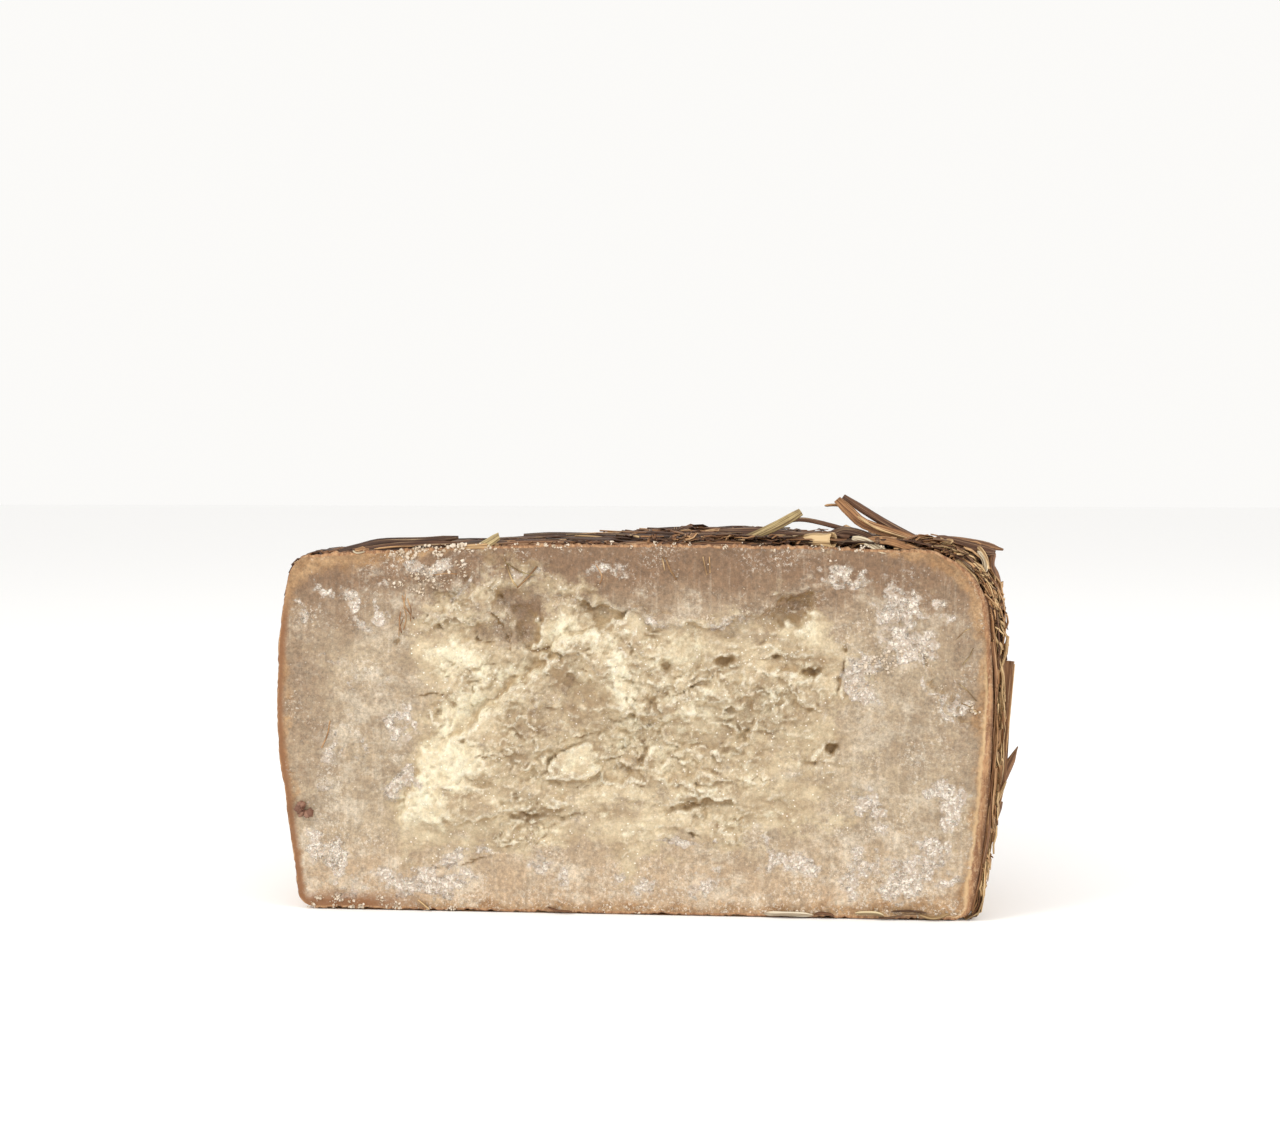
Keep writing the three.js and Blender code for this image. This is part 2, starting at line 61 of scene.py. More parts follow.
# Each ledge: its line, the height and reach on its left, the same on its right, and its softness.
MAIN_RIDGE = (((-4, 84), (-20, 79), (-27, 70), (-36, 63), (-50, 52), (-60, 45), (-64, 36), (-63, 29), (-66, 22)),
    (3.4, 22), (-1.6, 11), 2)
LEDGES = {
    "lower edge of the smooth plate": (((-9, 89), (8, 84), (20, 82), (28, 85.5), (37, 88), (44, 90), (50, 93.5),
        (62, 94)), (0.4, 10), (-2.3, 9), 0.55),
    "low shelf": (((-46, 27), (-30, 29.4), (-14, 30), (0, 33), (24, 32)), (1.3, 8), (-1.8, 5), 0.6),
    "right-hand edge": (((61, 80), (60, 75), (59.5, 69.7), (61, 63), (63, 55)), (-1.6, 4), (1.2, 10), 0.5),
    "notch wall": (((35.4, 58), (33.6, 53), (34.6, 49), (32.4, 44)), (0.7, 5), (-1, 7), 1.4),
    "flake": (((-21.3, 45.2), (-18.6, 48.7), (-12.8, 50), (-10.7, 47.6), (-9.7, 44.5), (-8, 40.8), (-12.4, 39.3),
        (-19.4, 38.5)), (-1, 4), (1.5, 6), 0.5),
    "slanting ridge": (((10.5, 60.1), (11.3, 56.3), (8.2, 50.9), (4.4, 45.5), (2.1, 40.8), (-4, 36.9)), (0.9, 4),
        (-0.7, 6), 0.8),
    "shelf under the plate": (((20, 66), (33, 71), (48, 69), (58, 70)), (-1.2, 5), (1.5, 8), 1),
    "middle shelf": (((-2, 58), (12, 57), (24, 60)), (1, 6), (-1.2, 6), 1),
    "pocket": (((-34.8, 79), (-35.4, 84), (-33.5, 87.5), (-29, 87), (-26, 84.5), (-25.5, 80), (-28, 76.2), (-31.6,
        77), (-34.8, 79)), (0.4, 2.5), (-1.3, 6), 0.9),
    "upper left plate": (((-57, 84.5), (-50, 83), (-44, 81.5), (-39.5, 85), (-38.5, 91), (-37, 95)), (0.8, 8),
        (-1, 4), 0.5),
    "left flake": (((-70, 34.5), (-67.5, 38.5), (-63, 41.5), (-61.8, 40), (-64, 36), (-67.5, 32.5), (-70, 34.5)),
        (0, 1), (1.2, 6), 0.6),
}
BORDER_STEP = (((76.8, 83.5), (81.5, 76.8), (83.4, 71), (85.6, 66), (91, 59.2), (95.4, 55), (101, 52)), (-0.5, 9),
    (1.3, 10), 0.4)

# Each swell: middle, half width, half height, how far it stands out.
SWELLS = {
    "middle basin": (8, 50, 30, 12, -3),
    "nose": (-5, 70, 4.5, 10, 2.2),
    "pocket": (-31.5, 86, 7.5, 9, -3),
    "pocket floor": (-39, 79, 8, 4, -1.8),
    "hollow under the plate": (48, 89, 7, 3.6, -3.4),
    "end of that hollow": (41, 85.5, 5, 3.4, -2.4),
    "knob beside the hollow": (55, 82, 5, 6, 2.2),
    "bright shoulder": (-51, 44, 9, 10, 2),
    "cup beside the nose": (-17, 65, 7, 5, -2.6),
    "right-hand swell": (33, 66, 14, 6, 1.4),
    "lower left lobe": (-58, 26, 6, 7, 1.6),
    "lump over the ridge": (-20, 84, 8, 4, 1.8),
    "small block": (18.5, 56, 3.2, 2.2, 1.7),
    "first low lump": (23.5, 39, 2.6, 1.9, 1.2),
    "second low lump": (35.6, 39.2, 3.2, 1.9, 1.4),
    "third low lump": (44.7, 42, 4, 4, 1),
}
# Smoother places, in the same way, with how smooth they are.
SMOOTH_PLACES = ((-42.5, 87, 5, 6, 1), (18, 93, 42, 8, 1), (46, 38, 22, 12, 0.6))

# Small cracks, each the line of a lip that overhangs it, and how deep it is.
CRACKS = (
    (((60.7, 77.3), (60.4, 71.2), (59.7, 68.4), (58.8, 64.3), (60.1, 62.3)), 1.1),
    (((76.8, 83.5), (81.5, 76.8), (83.4, 71), (85.6, 66), (91, 59.2), (95.4, 55)), 0.5),
    (((-61, 84), (-57, 83), (-51, 81.3)), 0.9), (((-42, 93), (-37.5, 91), (-34.5, 88)), 1.6),
    (((-40.5, 86.5), (-37, 82), (-35, 76)), 1.4), (((-45, 79), (-41, 77.4), (-37.5, 79)), 1.1),
    (((-31, 77.5), (-27.5, 75.5), (-24, 77)), 1.3), (((-62, 62), (-59.5, 63), (-54.6, 63.1)), 1),
    (((-44, 45.8), (-40, 46.4), (-35.5, 46.5)), 0.8), (((-33, 51.7), (-28, 51.5)), 0.7),
    (((-20, 50), (-16, 51), (-10, 52.6)), 1.1), (((-24, 60.2), (-14, 58.9)), 0.8),
    (((-32, 29), (-27, 28.2), (-21, 27.6), (-14.5, 29)), 1.7),
    (((-64, 13.6), (-57, 12.6), (-50, 13.7), (-42, 16.5), (-34.5, 19.8), (-28.7, 23.7)), 0.8),
    (((37, 65), (41, 64.6), (45, 65.2)), 0.9), (((11, 31.4), (16, 32.2), (22, 31)), 1.2),
    (((13, 24.6), (19, 23.6)), 0.8), (((30, 28), (34.5, 29.6)), 0.9), (((8, 64.6), (13, 64)), 0.8),
    (((26, 22), (38, 21.4)), 0.4), (((-35.2, 88), (-35.7, 84), (-34.8, 79.5)), 1),
    (((44, 90.4), (49, 92.4), (54.4, 93.6)), 1.1), (((49.4, 87.6), (52.6, 86.2)), 0.9),
    (((-23, 66), (-18, 69.4), (-13, 71)), 0.7), (((-48, 69), (-44.4, 71), (-40, 71.6)), 0.6),
    (((-6, 44.6), (-1, 45.8), (4, 45)), 0.8), (((30, 39), (36, 40), (41, 39.2)), 0.7),
    (((-20, 37.4), (-15, 36.4), (-9, 37.6)), 0.9),
)
CRACK_REACH, LIP_WIDTH, CRACK_WIDTH = 8, 1.8, 0.9

# Small holes: middle, half width, half height, depth.
PITS = (
    (-68, 78.3, 1.3, 1.3, 1.4), (-56, 57.3, 1.5, 1.4, 1.3), (-48, 50.4, 1.8, 1.1, 1.3), (26.4, 73, 2.8, 1.6, 2.4),
    (10, 71.5, 1.5, 1.9, 1.6), (41, 74.4, 2.1, 0.9, 1.8), (51, 70.2, 2.7, 1.4, 2.6), (53, 61, 0.8, 0.7, 0.9),
    (57, 48.6, 2.1, 1.5, 2.8), (28, 47.8, 2.6, 1.2, 1.8), (51.5, 43.8, 2, 1, 1.4), (2, 37, 1.2, 0.8, 1.1),
    (17, 31, 2.4, 0.8, 1.4), (17.4, 23.6, 1.3, 1, 1.1), (-20, 73, 1, 1, 1), (-56, 92, 1.2, 2, 0.8),
    (70, 71.6, 1.6, 0.8, 1.2), (46, 88.4, 1.2, 0.9, 0.8), (-33, 33, 1.3, 0.9, 1), (-53, 27, 1.4, 1.2, 1.1),
)

# How the forms are bent and frayed, as layers of noise: strength, width, height, seed.
BEND_X = ((2.6, 9, 9, 41), (1.1, 2.8, 2.4, 43), (0.5, 1.3, 1.3, 39))
BEND_Z = ((1.7, 9, 9, 42), (1.1, 2.8, 2.4, 44), (0.5, 1.3, 1.3, 40))
FORM_FADE = 13
# Chips: width, height, depth, seed.
CHIPS = ((17, 9, 0.5, 51), (7.5, 4.2, 0.45, 54), (3.6, 2.4, 0.3, 52), (1.9, 1.4, 0.17, 53))
# Crumbs: size, height, turn, seed and how sharp: above 0 the valleys are sharp, below 0 the ridges.
CRUMBS = ((10.5, 0.9, 0.4, 61, -0.4), (5.6, 0.8, 1.3, 62, -0.5), (3.2, 0.62, 2.2, 63, -0.4), (1.8, 0.5, 3.1, 64, 0.5),
          (1.0, 0.34, 4, 65, -0.8))
CRUMB_STRETCH, CRUMB_MIDDLE = 1.4, 0.62
ROUGHEST, SMOOTHEST = 1.2, 0.45
# Lying layers: width, height, depth, seed. The border's slow wave is a layer of noise.
LAYERING = (11, 1.7, 0.24, 71)
BORDER_WAVE = (0.25, 17, 17, 31)
# Crumbly places on the border: middle, half width, half height, strength.
RUBBLE = ((-56, 96, 11, 8, 0.9), (60, 96, 6, 6, 0.8), (67, 71, 7, 6, 0.7), (62, 26, 5, 12, 0.35))

# White crust: middle, half width, half height, turn in degrees, strength.
BLOOM_SPOTS = (
    (-80.8, 89, 9.5, 2.4, -46, 1), (-91, 97, 5, 2, -40, 0.35), (-71.5, 89, 3, 7, 12, 0.6),
    (-48.5, 93.5, 1.4, 6, -12, 1.1), (-56, 100.4, 11, 2.6, 0, 0.8), (-95, 88, 3, 5, 0, 0.5), (-86, 74, 6, 7, 0, 0.2),
    (-76, 66, 10, 6, 20, 0.3), (-88, 62, 6, 2, 10, 0.4), (-88, 44, 5, 10, -20, 0.6), (-66, 56, 4, 8, -15, 0.5),
    (-78, 48, 6, 7, 0, 0.35), (-66, 36.5, 5, 3, 45, 0.9), (-91, 18, 3.5, 7, 12, 0.9), (-86, 13, 3, 3, 0, 0.9),
    (-60, 9, 16, 4.5, 0, 0.7), (-50, 15, 14, 1.8, 8, 0.7), (-83, 5, 5, 3, 0, 0.8), (76, 90, 10, 7, -15, 0.8),
    (88, 87.6, 4.4, 3.4, 0, 0.8), (76, 80, 8, 6, -30, 0.9), (69, 73.5, 7, 2.6, 5, 1.1), (77, 78, 2.4, 4, 0, 1),
    (64.5, 66.5, 4, 4, 0, 1.2), (87, 77, 4, 5, 0, 0.3), (92.5, 63, 1.8, 5, 30, 0.7), (97, 60.5, 1.6, 2.4, 0, 1.2),
    (86.6, 64.4, 6.5, 0.9, -52, 0.9), (82, 75.6, 6, 0.8, -58, 0.7), (27, 84.6, 8, 1.6, 0, 1), (6, 84, 3, 2, 0, 0.9),
    (61, 97, 8, 3, 0, 0.7), (-6, 100, 12, 3, 0, 0.4), (68, 31.6, 4, 6, 30, 0.7), (57.3, 42, 3, 6, 0, 0.6),
    (40, 17, 3.4, 5, 0, 0.8), (49, 16, 5, 3, -30, 0.9), (62.6, 10, 2.6, 5, 20, 1), (66, 18, 3, 4, 0, 0.8),
    (77, 10, 9, 5.4, 20, 0.9), (86.6, 20, 5, 7, -10, 0.8), (91.6, 30, 3, 7, -10, 0.9), (87, 39, 3.4, 3, 0, 0.8),
    (91, 12.6, 4.6, 1, 12, 1), (14, 21.5, 9, 1.3, 0, 0.9), (-24, 14, 9, 7, 0, 0.5), (0, 9, 20, 3, 0, 0.45),
    (22, 10, 9, 4, 0, 0.45), (-30, 98, 7, 3, 0, 0.45), (-22, 91, 6, 2, 10, 0.6),
)
# Where the paste is a richer cream (above 0) or greyer (below 0): middle, half width, half height, strength.
# Along the main ridge and on raised lumps the richer cream is partly painted light on slopes that face the lamp.
CREAM_AND_LIT_SPOTS = (
    (-57, 45, 5, 6, 1), (-51, 53, 5.5, 5, 1.1), (-44, 60, 6, 4, 0.9), (-58, 35, 6, 7, 0.9), (-62, 27, 6, 6, 0.7),
    (-62, 19, 6, 5, 0.7), (-49, 45, 5, 8, 0.8), (-49, 75, 8, 5, 0.6), (-33, 69, 6, 4, 0.5), (-20, 81, 8, 4, 0.9),
    (-60, 72, 7, 7, 0.3), (-3, 66, 4, 13, 0.9), (-14, 44.5, 5, 5, 0.4), (15, 61, 7, 5, 0.35), (54, 84, 5, 6, 0.5),
    (40, 61, 8, 4, 0.4), (10, 47, 6, 3, 0.4), (36, 24, 20, 4, 0.3), (12, 76, 8, 4, 0.4), (-54, 95, 13, 8, -0.7),
    (-32, 84, 7, 9, -0.9), (-40, 79, 8, 4, -0.5), (-25, 62, 8, 8, -0.4), (20, 92, 40, 8, -1), (-80, 60, 9, 30, -0.6),
    (62, 40, 12, 12, -0.25), (-34, 44, 9, 8, -0.35),
)
# Darker, browner places, in the same way: partly browner paste, partly painted shade.
# The painted shade lies in the hollows, the pocket and under the smooth plate, with the painted shadow of the upper
# wedge along the top band; that wedge is not built.
SHADE_SPOTS = (
    (-30.5, 84, 5, 7, 1), (-34, 91, 6, 4, 0.6), (-38, 79, 7, 3, 0.5), (-20.5, 68, 5, 4.5, 1), (-26, 55, 9, 5, 0.55),
    (-36, 47, 7, 7, 0.5), (-28, 26.5, 5, 3, 0.75), (43, 86.5, 6, 3, 1.1), (51, 90.4, 5.5, 3, 1.2),
    (38, 83, 4, 4, 0.5), (26, 73, 5, 3.4, 0.6), (9, 65, 5, 4, 0.45), (27, 55, 6, 5, 0.4), (51, 72.4, 3.4, 3.6, 0.75),
    (-14, 60, 8, 8, 0.6), (50, 57, 9, 10, 0.3), (40, 60, 20, 9, 0.42), (16, 74, 8, 5, 0.3), (41, 74, 3, 2, 0.5),
    (49, 47, 5, 4, 0.45), (57, 50, 4, 4, 0.55), (10, 37, 10, 4, 0.25), (17, 31, 6, 2, 0.4), (8, 52, 16, 6, 0.25),
    (-101, 62, 16, 36, 0.55), (-94, 98, 18, 12, 0.8), (-82, 88, 12, 10, 0.4), (-60, 103, 20, 4, 0.4),
    (99, 66, 16, 36, 0.5), (74, 101, 24, 8, 0.6), (84, 92, 14, 8, 0.3), (45, 66, 14, 12, 0.2), (14, 99, 46, 7, 0.6),
    (10, 103, 46, 6, 1), (-26, 103, 26, 5, 0.9), (-10, 94, 10, 5, 0.4), (36, 78, 7, 3, 0.3), (72, 84, 10, 8, 0.3),
    (98, 12, 5, 12, 0.4), (-70, 97, 8, 6, 0.4), (20, 42, 8, 3, 0.2), (-12, 30, 8, 2, 0.3),
)


# ---- Noise and soft spots ----

def smooth(t):
    return t * t * (3 - 2 * t)


def smooth_step(low, high, v):
    return smooth(np.clip((v - low) / (high - low), 0, 1))


def lerp(a, b, t):
    return a + (b - a) * t


def cell_value(i, j, seed):
    """A number from 0 to 1 for each cell of a grid."""
    i = np.asarray(i).astype(np.int64).astype(np.uint32)
    j = np.asarray(j).astype(np.int64).astype(np.uint32)
    with np.errstate(over="ignore"):
        n = i * np.uint32(374761393) + j * np.uint32(668265263) + np.uint32((seed * 1442695041) & 0xFFFFFFFF)
        n = (n ^ (n >> np.uint32(13))) * np.uint32(1274126177)
        n = n ^ (n >> np.uint32(16))
    return n.astype(np.float64) / 2 ** 32


def noise(u, v, seed):
    """Smooth noise from -1 to 1, one cell to a unit."""
    u, v = np.asarray(u, float), np.asarray(v, float)
    i, j = np.floor(u), np.floor(v)
    s, t = smooth(u - i), smooth(v - j)
    low = lerp(cell_value(i, j, seed), cell_value(i + 1, j, seed), s)
    high = lerp(cell_value(i, j + 1, seed), cell_value(i + 1, j + 1, seed), s)
    return 2 * lerp(low, high, t) - 1


def layered(x, z, *layers):
    """Layers of noise added up, each given by its strength, width, height and seed."""
    return sum(strength * noise(x / wide, z / tall, seed) for strength, wide, tall, seed in layers)


def plates(u, v, seed):
    """Broken plates: each cell round a scattered point is a tilted facet."""
    i0, j0 = np.floor(u), np.floor(v)
    nearest = np.full(u.shape, np.inf)
    height = np.zeros(u.shape)
    for di in (-1, 0, 1):
        for dj in (-1, 0, 1):
            i, j = i0 + di, j0 + dj
            du = u - i - cell_value(i, j, seed)
            dv = v - j - cell_value(i, j, seed + 1)
            apart = du * du + dv * dv
            level, tilt_u, tilt_v = (2 * cell_value(i, j, seed + k) - 1 for k in (2, 3, 4))
            nearer = apart < nearest
            nearest = np.where(nearer, apart, nearest)
            height = np.where(nearer, level + tilt_u * du + tilt_v * dv, height)
    return height


def line_distance(line, x, z):
    """How far points are from a line, above 0 on its left and below 0 on its right."""
    nearest, side = np.full(x.shape, np.inf), np.ones(x.shape)
    for (ax, az), (bx, bz) in zip(line[:-1], line[1:]):
        ex, ez = bx - ax, bz - az
        along = np.clip(((x - ax) * ex + (z - az) * ez) / (ex * ex + ez * ez), 0, 1)
        dx, dz = x - ax - along * ex, z - az - along * ez
        apart = np.hypot(dx, dz)
        nearer = apart < nearest - 1e-9
        nearest = np.where(nearer, apart, nearest)
        side = np.where(nearer, np.where(ex * dz - ez * dx > 0, 1, -1), side)
    return side * nearest


def ledge_height(ledge, x, z):
    line, left, right, softness = ledge
    apart = line_distance(line, x, z)
    on_left, on_right = (height * np.exp(-(apart / reach) ** 2) for height, reach in (left, right))
    return lerp(on_right, on_left, smooth_step(-softness, softness, apart))


def turned(u, v, angle):
    """Where a point is in axes that are turned by an angle in radians."""
    return u * math.cos(angle) + v * math.sin(angle), v * math.cos(angle) - u * math.sin(angle)


def spot(x, z, cx, cz, half_x, half_z, degrees=0):
    """A soft spot, 1 in its middle."""
    u, v = turned(x - cx, z - cz, math.radians(degrees))
    return np.exp(-(u / half_x) ** 2 - (v / half_z) ** 2)


def all_spots(x, z, places):
    return sum(strength * spot(x, z, *where) for *where, strength in places)


# ---- Relief and masks of the split face ----

def broken_depth(x, z):
    """How far inside the edge of the broken middle a point is."""
    dx, dz = x - BROKEN_CENTRE[0], z - BROKEN_CENTRE[1]
    reaches = np.array(BROKEN_REACH, float)
    count = len(reaches)
    turn = ((np.arctan2(dz, dx) / (2 * np.pi) + 1) % 1) * count
    i = np.floor(turn).astype(int)
    reach = lerp(reaches[i % count], reaches[(i + 1) % count], smooth(turn - i))
    return reach + layered(x, z, (8, 16, 11, 20), (5, 6, 4, 21), (1.6, 2.1, 1.5, 22)) - np.hypot(dx, dz)


def bloom_amount(x, z):
    """How thick the white crust is: patches broken up by noise."""
    wx = x + layered(x, z, (2.5, 6, 6, 83), (1.2, 2.2, 2.2, 84))
    wz = z + layered(x, z, (2.5, 6, 6, 85), (1.2, 2.2, 2.2, 86))
    amount = np.max([strength * spot(wx, wz, *where) for *where, strength in BLOOM_SPOTS], axis=0)
    grain = layered(x, z, (0.7, 6.5, 5, 81), (0.6, 2.4, 2, 82), (0.35, 1.1, 1, 87))
    return np.clip(amount * 1.15 - 0.15 + 0.75 * grain * np.sqrt(amount + 0.02), 0, 1)


def cracks_and_pits(x, z):
    """The height of the small cracks and holes, and how dark they are inside: painted shade over their own brown."""
    height, dark = np.zeros(x.shape), np.zeros(x.shape)
    wx = x + layered(x, z, (0.7, 1.8, 1.8, 47), (0.3, 0.8, 0.8, 48))
    wz = z + layered(x, z, (0.6, 1.8, 1.8, 49), (0.3, 0.8, 0.8, 50))
    broken_up = smooth_step(-0.4, 0.4, noise(x / 2.2, z / 2.2, 57))
    for line, depth in CRACKS:
        (low_x, low_z), (high_x, high_z) = np.min(line, axis=0) - CRACK_REACH, np.max(line, axis=0) + CRACK_REACH
        near = (x > low_x) & (x < high_x) & (z > low_z) & (z < high_z)
        apart, whole = line_distance(line, wx[near], wz[near]), broken_up[near]
        lip = 0.2 * depth * np.exp(-(apart / LIP_WIDTH) ** 2)
        under = -0.8 * depth * np.exp(-(apart / CRACK_WIDTH) ** 2)
        height[near] += lerp(under, lip, smooth_step(-0.3, 0.3, apart)) * (0.4 + 0.6 * whole)
        inside = np.exp(-(apart / np.where(apart < 0, 0.5, 0.2)) ** 2)
        dark[near] = np.maximum(dark[near], inside * whole * min(0.9, 0.3 + 0.4 * depth))
    for *where, depth in PITS:
        inside = smooth(np.clip(1.7 * spot(wx, wz, *where) - 0.35, 0, 1))
        height = height - 0.75 * depth * inside
        dark = np.maximum(dark, inside * min(0.62, 0.2 + 0.15 * depth))
    return height, dark


def crumb_height(x, z, share_at):
    """Crumbs of several sizes, each times the share that share_at gives for its size."""
    height = 0
    for size, level, turn, seed, creased in CRUMBS:
        u, v = turned(x / CRUMB_STRETCH, z, turn)
        swell = noise(u / size, v / size, seed)
        sharp = np.sign(creased) * (2 * np.abs(swell) - CRUMB_MIDDLE)
        height = height + level * lerp(swell, sharp, abs(creased)) * share_at(size)
    return height


def face_relief(x, z):
    """How far the face stands out from the plane of the cut, towards -Y, and the masks its colours use."""
    wx, wz = x + layered(x, z, *BEND_X), z + layered(x, z, *BEND_Z)
    depth = broken_depth(x, z)
    broken = smooth_step(-4, 6, depth)

    def fade(size):
        return smooth_step(-4 - 0.5 * size, 5 + 1.3 * size, depth)

    come_and_go = 0.85 + 0.6 * noise(x / 5.5, z / 4.5, 46)
    forms = 1.25 * ledge_height(MAIN_RIDGE, wx, wz) + 1.2 * all_spots(wx, wz, SWELLS.values())
    forms = forms + come_and_go * sum(ledge_height(ledge, wx, wz) for ledge in LEDGES.values())
    height = (layered(x, z, BORDER_WAVE) + ledge_height(BORDER_STEP, wx, wz)) * (1 - broken) + forms * fade(FORM_FADE)

    vigour = lerp(SMOOTHEST, ROUGHEST, smooth_step(-0.5, 0.5, noise(x / 15, z / 11, 45)))
    vigour = vigour * (1 - 0.7 * np.clip(all_spots(x, z, SMOOTH_PLACES), 0, 1))
    for wide, tall, level, seed in CHIPS:
        height = height + level * plates(wx / wide, wz / tall, seed) * fade(wide / 2) * vigour
    rubble = all_spots(wx, wz, RUBBLE)
    height = height + crumb_height(wx, wz, lambda size: fade(size) * vigour + rubble)
    wide, tall, level, seed = LAYERING
    height = height + level * (2 * np.abs(noise(wx / wide, wz / tall, seed)) - 0.6) * broken

    bloom = bloom_amount(x, z) * (1 - broken * 0.55)
    worms = np.abs(noise(wx / 1.7, wz / 1.7, 91)) + 0.6 * np.abs(noise(wx / 0.9, wz / 0.9, 92))
    scales = 0.3 * plates(wx / 8, wz / 4.5, 95) + 0.2 * plates(wx / 3.2, wz / 2.4, 96)
    height = height + bloom * (0.5 - worms) * 0.9 + scales * (1 - broken) * (0.12 + bloom)
    small, dark = cracks_and_pits(x, z)

    cream = 0.55 * smooth_step(-10, 9, depth) + layered(x, z, (0.14, 9, 6, 35), (0.12, 3.4, 2.6, 36))
    # The cream spots: richer cream, and along the main ridge and raised lumps partly painted light on slopes that
    # face the lamp.
    cream = cream + 0.5 * all_spots(wx, wz, CREAM_AND_LIT_SPOTS)
    # The shade mask: painted shade in the hollows, the pocket and under the plate, the upper wedge's painted shadow
    # along the top, and some browner paste.
    shade = layered(x, z, (0.12, 13, 9, 37), (0.1, 4.5, 3.2, 38))
    for *where, strength in SHADE_SPOTS:
        shade = np.maximum(shade, strength * spot(wx, wz, *where) + 0.15 * shade)
    masks = {"bloom": bloom, "dark": dark, "cream": np.clip(cream, 0, 1), "shade": np.clip(shade, 0, 1)}
    return height + small, masks


def amber_amount(x, z, right, left):
    """How much of the amber band along the outline shows: wide on the right, thin and ragged elsewhere."""
    wobble = layered(x, z, (1.6, 7, 7, 25), (1.3, 2.3, 2.3, 26), (0.6, 0.9, 0.9, 27))
    right_width = np.interp(z, (0, 12, 22, 45, 60, 80, 92, 104), (7, 5, 4.2, 4.4, 5.2, 3.6, 4, 9))
    left_width = np.interp(z, (0, 12, 28, 34, 50, 56, 84, 92, 104), (3, 1.2, 1.2, 3.6, 3.4, 1.4, 1.8, 2.5, 9))
    base_width = np.interp(x, (-100, -70, -20, 40, 100), (1.5, 1.2, 3, 4, 4))
    top_width = np.interp(x, (-100, -70, -55, -45, 62, 75, 100), (4.5, 3, 1, -6, -6, 2, 5))
    bands = [(right - x, right_width), (left + x, left_width), (z, base_width), (104 - z, top_width)]
    return np.max([smooth_step(width + 1.3, width - 1.3, apart + wobble) for apart, width in bands], axis=0)


# ---- Meshes of the cheese ----

RAGGED_EDGE = 0.55
LEFT_SECTION, LEVEL_SECTION = 0.35, 0.8
EDGE_ROWS, EDGE_REACH = 6, 1.4
FACE_ROWS, FACE_COLUMNS = 196, 424
RIND_STEPS, CAP_RINGS = 96, 20
HOLLOW_BLUR, DEEP_BLUR = 10, 120
TURNED_IN = 1.5


def place(points):
    """Millimetres from the wheel's axis to metres in the row frame."""
    return (np.asarray(points, float) - MIDDLE) / 1000


def around(angle, r, z):
    return np.stack([r * np.cos(angle), r * np.sin(angle), z], -1)


def leftness(x, y):
    """0 at the right of the wheel and 1 at its left."""
    return smooth((1 - x / np.maximum(np.hypot(x, y), 1e-6)) / 2)


def side_radius(z):
    low = lerp(WIDEST_RADIUS, BASE_RADIUS, ((BULGE_HEIGHT - z) / BULGE_HEIGHT) ** 2)
    high = lerp(WIDEST_RADIUS, TOP_RADIUS, ((z - BULGE_HEIGHT) / (LEFT_EDGE_HEIGHT - BULGE_HEIGHT)) ** 2)
    return np.where(z < BULGE_HEIGHT, low, high)


def corner_drop(share, radius):
    return radius * (1 - np.sqrt(1 - np.clip(share, 0, 1) ** 2))


def rim_radius(t, edge_height, shoulder):
    """Radius of the side at a share of its height, with both corners rounded."""
    z = t * edge_height
    top = corner_drop((z - (edge_height - shoulder)) / shoulder, shoulder)
    base = corner_drop((BASE_CORNER - z) / BASE_CORNER, BASE_CORNER)
    return side_radius(np.minimum(z, LEFT_EDGE_HEIGHT)) - top - base


def dome_height(r, edge_height):
    return CROWN_HEIGHT - (CROWN_HEIGHT - edge_height) * (r / TOP_RADIUS) ** 2


def swollen(points):
    """The rind's slow lumps."""
    x, y, z = points[..., 0], points[..., 1], points[..., 2]
    lump = LUMP_HEIGHT * noise(x / LUMP_SPACING, (y + z) / LUMP_SPACING, 11)
    swell = 1 + lump / WIDEST_RADIUS * smooth_step(0, BASE_CORNER * 2, z)
    return np.stack([x * swell, y * swell, z], -1)


def height_shares():
    """Rows up the side, closer together where the corners turn."""
    low = EDGE_REACH * np.linspace(0, 1, EDGE_ROWS + 1)[:-1] ** 2
    middle = np.linspace(EDGE_REACH, RIGHT_EDGE_HEIGHT - EDGE_REACH, FACE_ROWS)
    return np.concatenate([low, middle, RIGHT_EDGE_HEIGHT - low[::-1]])[:, None] / RIGHT_EDGE_HEIGHT


def both_radii(t):
    return rim_radius(t, RIGHT_EDGE_HEIGHT, RIGHT_SHOULDER), rim_radius(t, LEFT_EDGE_HEIGHT, LEFT_SHOULDER)


def grid_faces(rows, columns):
    i = np.arange(rows * columns).reshape(rows, columns)
    return np.stack([i[:-1, :-1], i[:-1, 1:], i[1:, 1:], i[1:, :-1]], -1).reshape(-1, 4)


def mesh_object(name, points, faces, material, attributes):
    """One piece: points in millimetres, faces with 3 or 4 corners, and attributes with one number to a point."""
    points = place(points).reshape(-1, 3).astype(np.float32)
    faces = np.asarray(faces, np.int32)
    mesh = bpy.data.meshes.new(name)
    mesh.vertices.add(len(points))
    mesh.vertices.foreach_set("co", points.ravel())
    mesh.loops.add(faces.size)
    mesh.loops.foreach_set("vertex_index", faces.ravel())
    mesh.polygons.add(len(faces))
    mesh.polygons.foreach_set("loop_start", np.arange(0, faces.size, faces.shape[1], dtype=np.int32))
    mesh.polygons.foreach_set("use_smooth", np.ones(len(faces), bool))
    mesh.update(calc_edges=True)
    mesh.validate()
    for key, values in attributes.items():
        mesh.attributes.new(key, "FLOAT", "POINT").data.foreach_set("value", np.asarray(values, np.float32).ravel())
    mesh.materials.append(material)
    piece = bpy.data.objects.new(name, mesh)
    bpy.context.scene.collection.objects.link(piece)
    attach(piece, "root")
    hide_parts("pecorino")


def softened(values, times):
    """A grid of values, each moved towards its neighbours a number of times."""
    for _ in range(times):
        padded = np.pad(values, 1, mode="edge")
        neighbours = padded[2:, 1:-1] + padded[:-2, 1:-1] + padded[1:-1, 2:] + padded[1:-1, :-2]
        values = 0.5 * values + 0.125 * neighbours
    return values


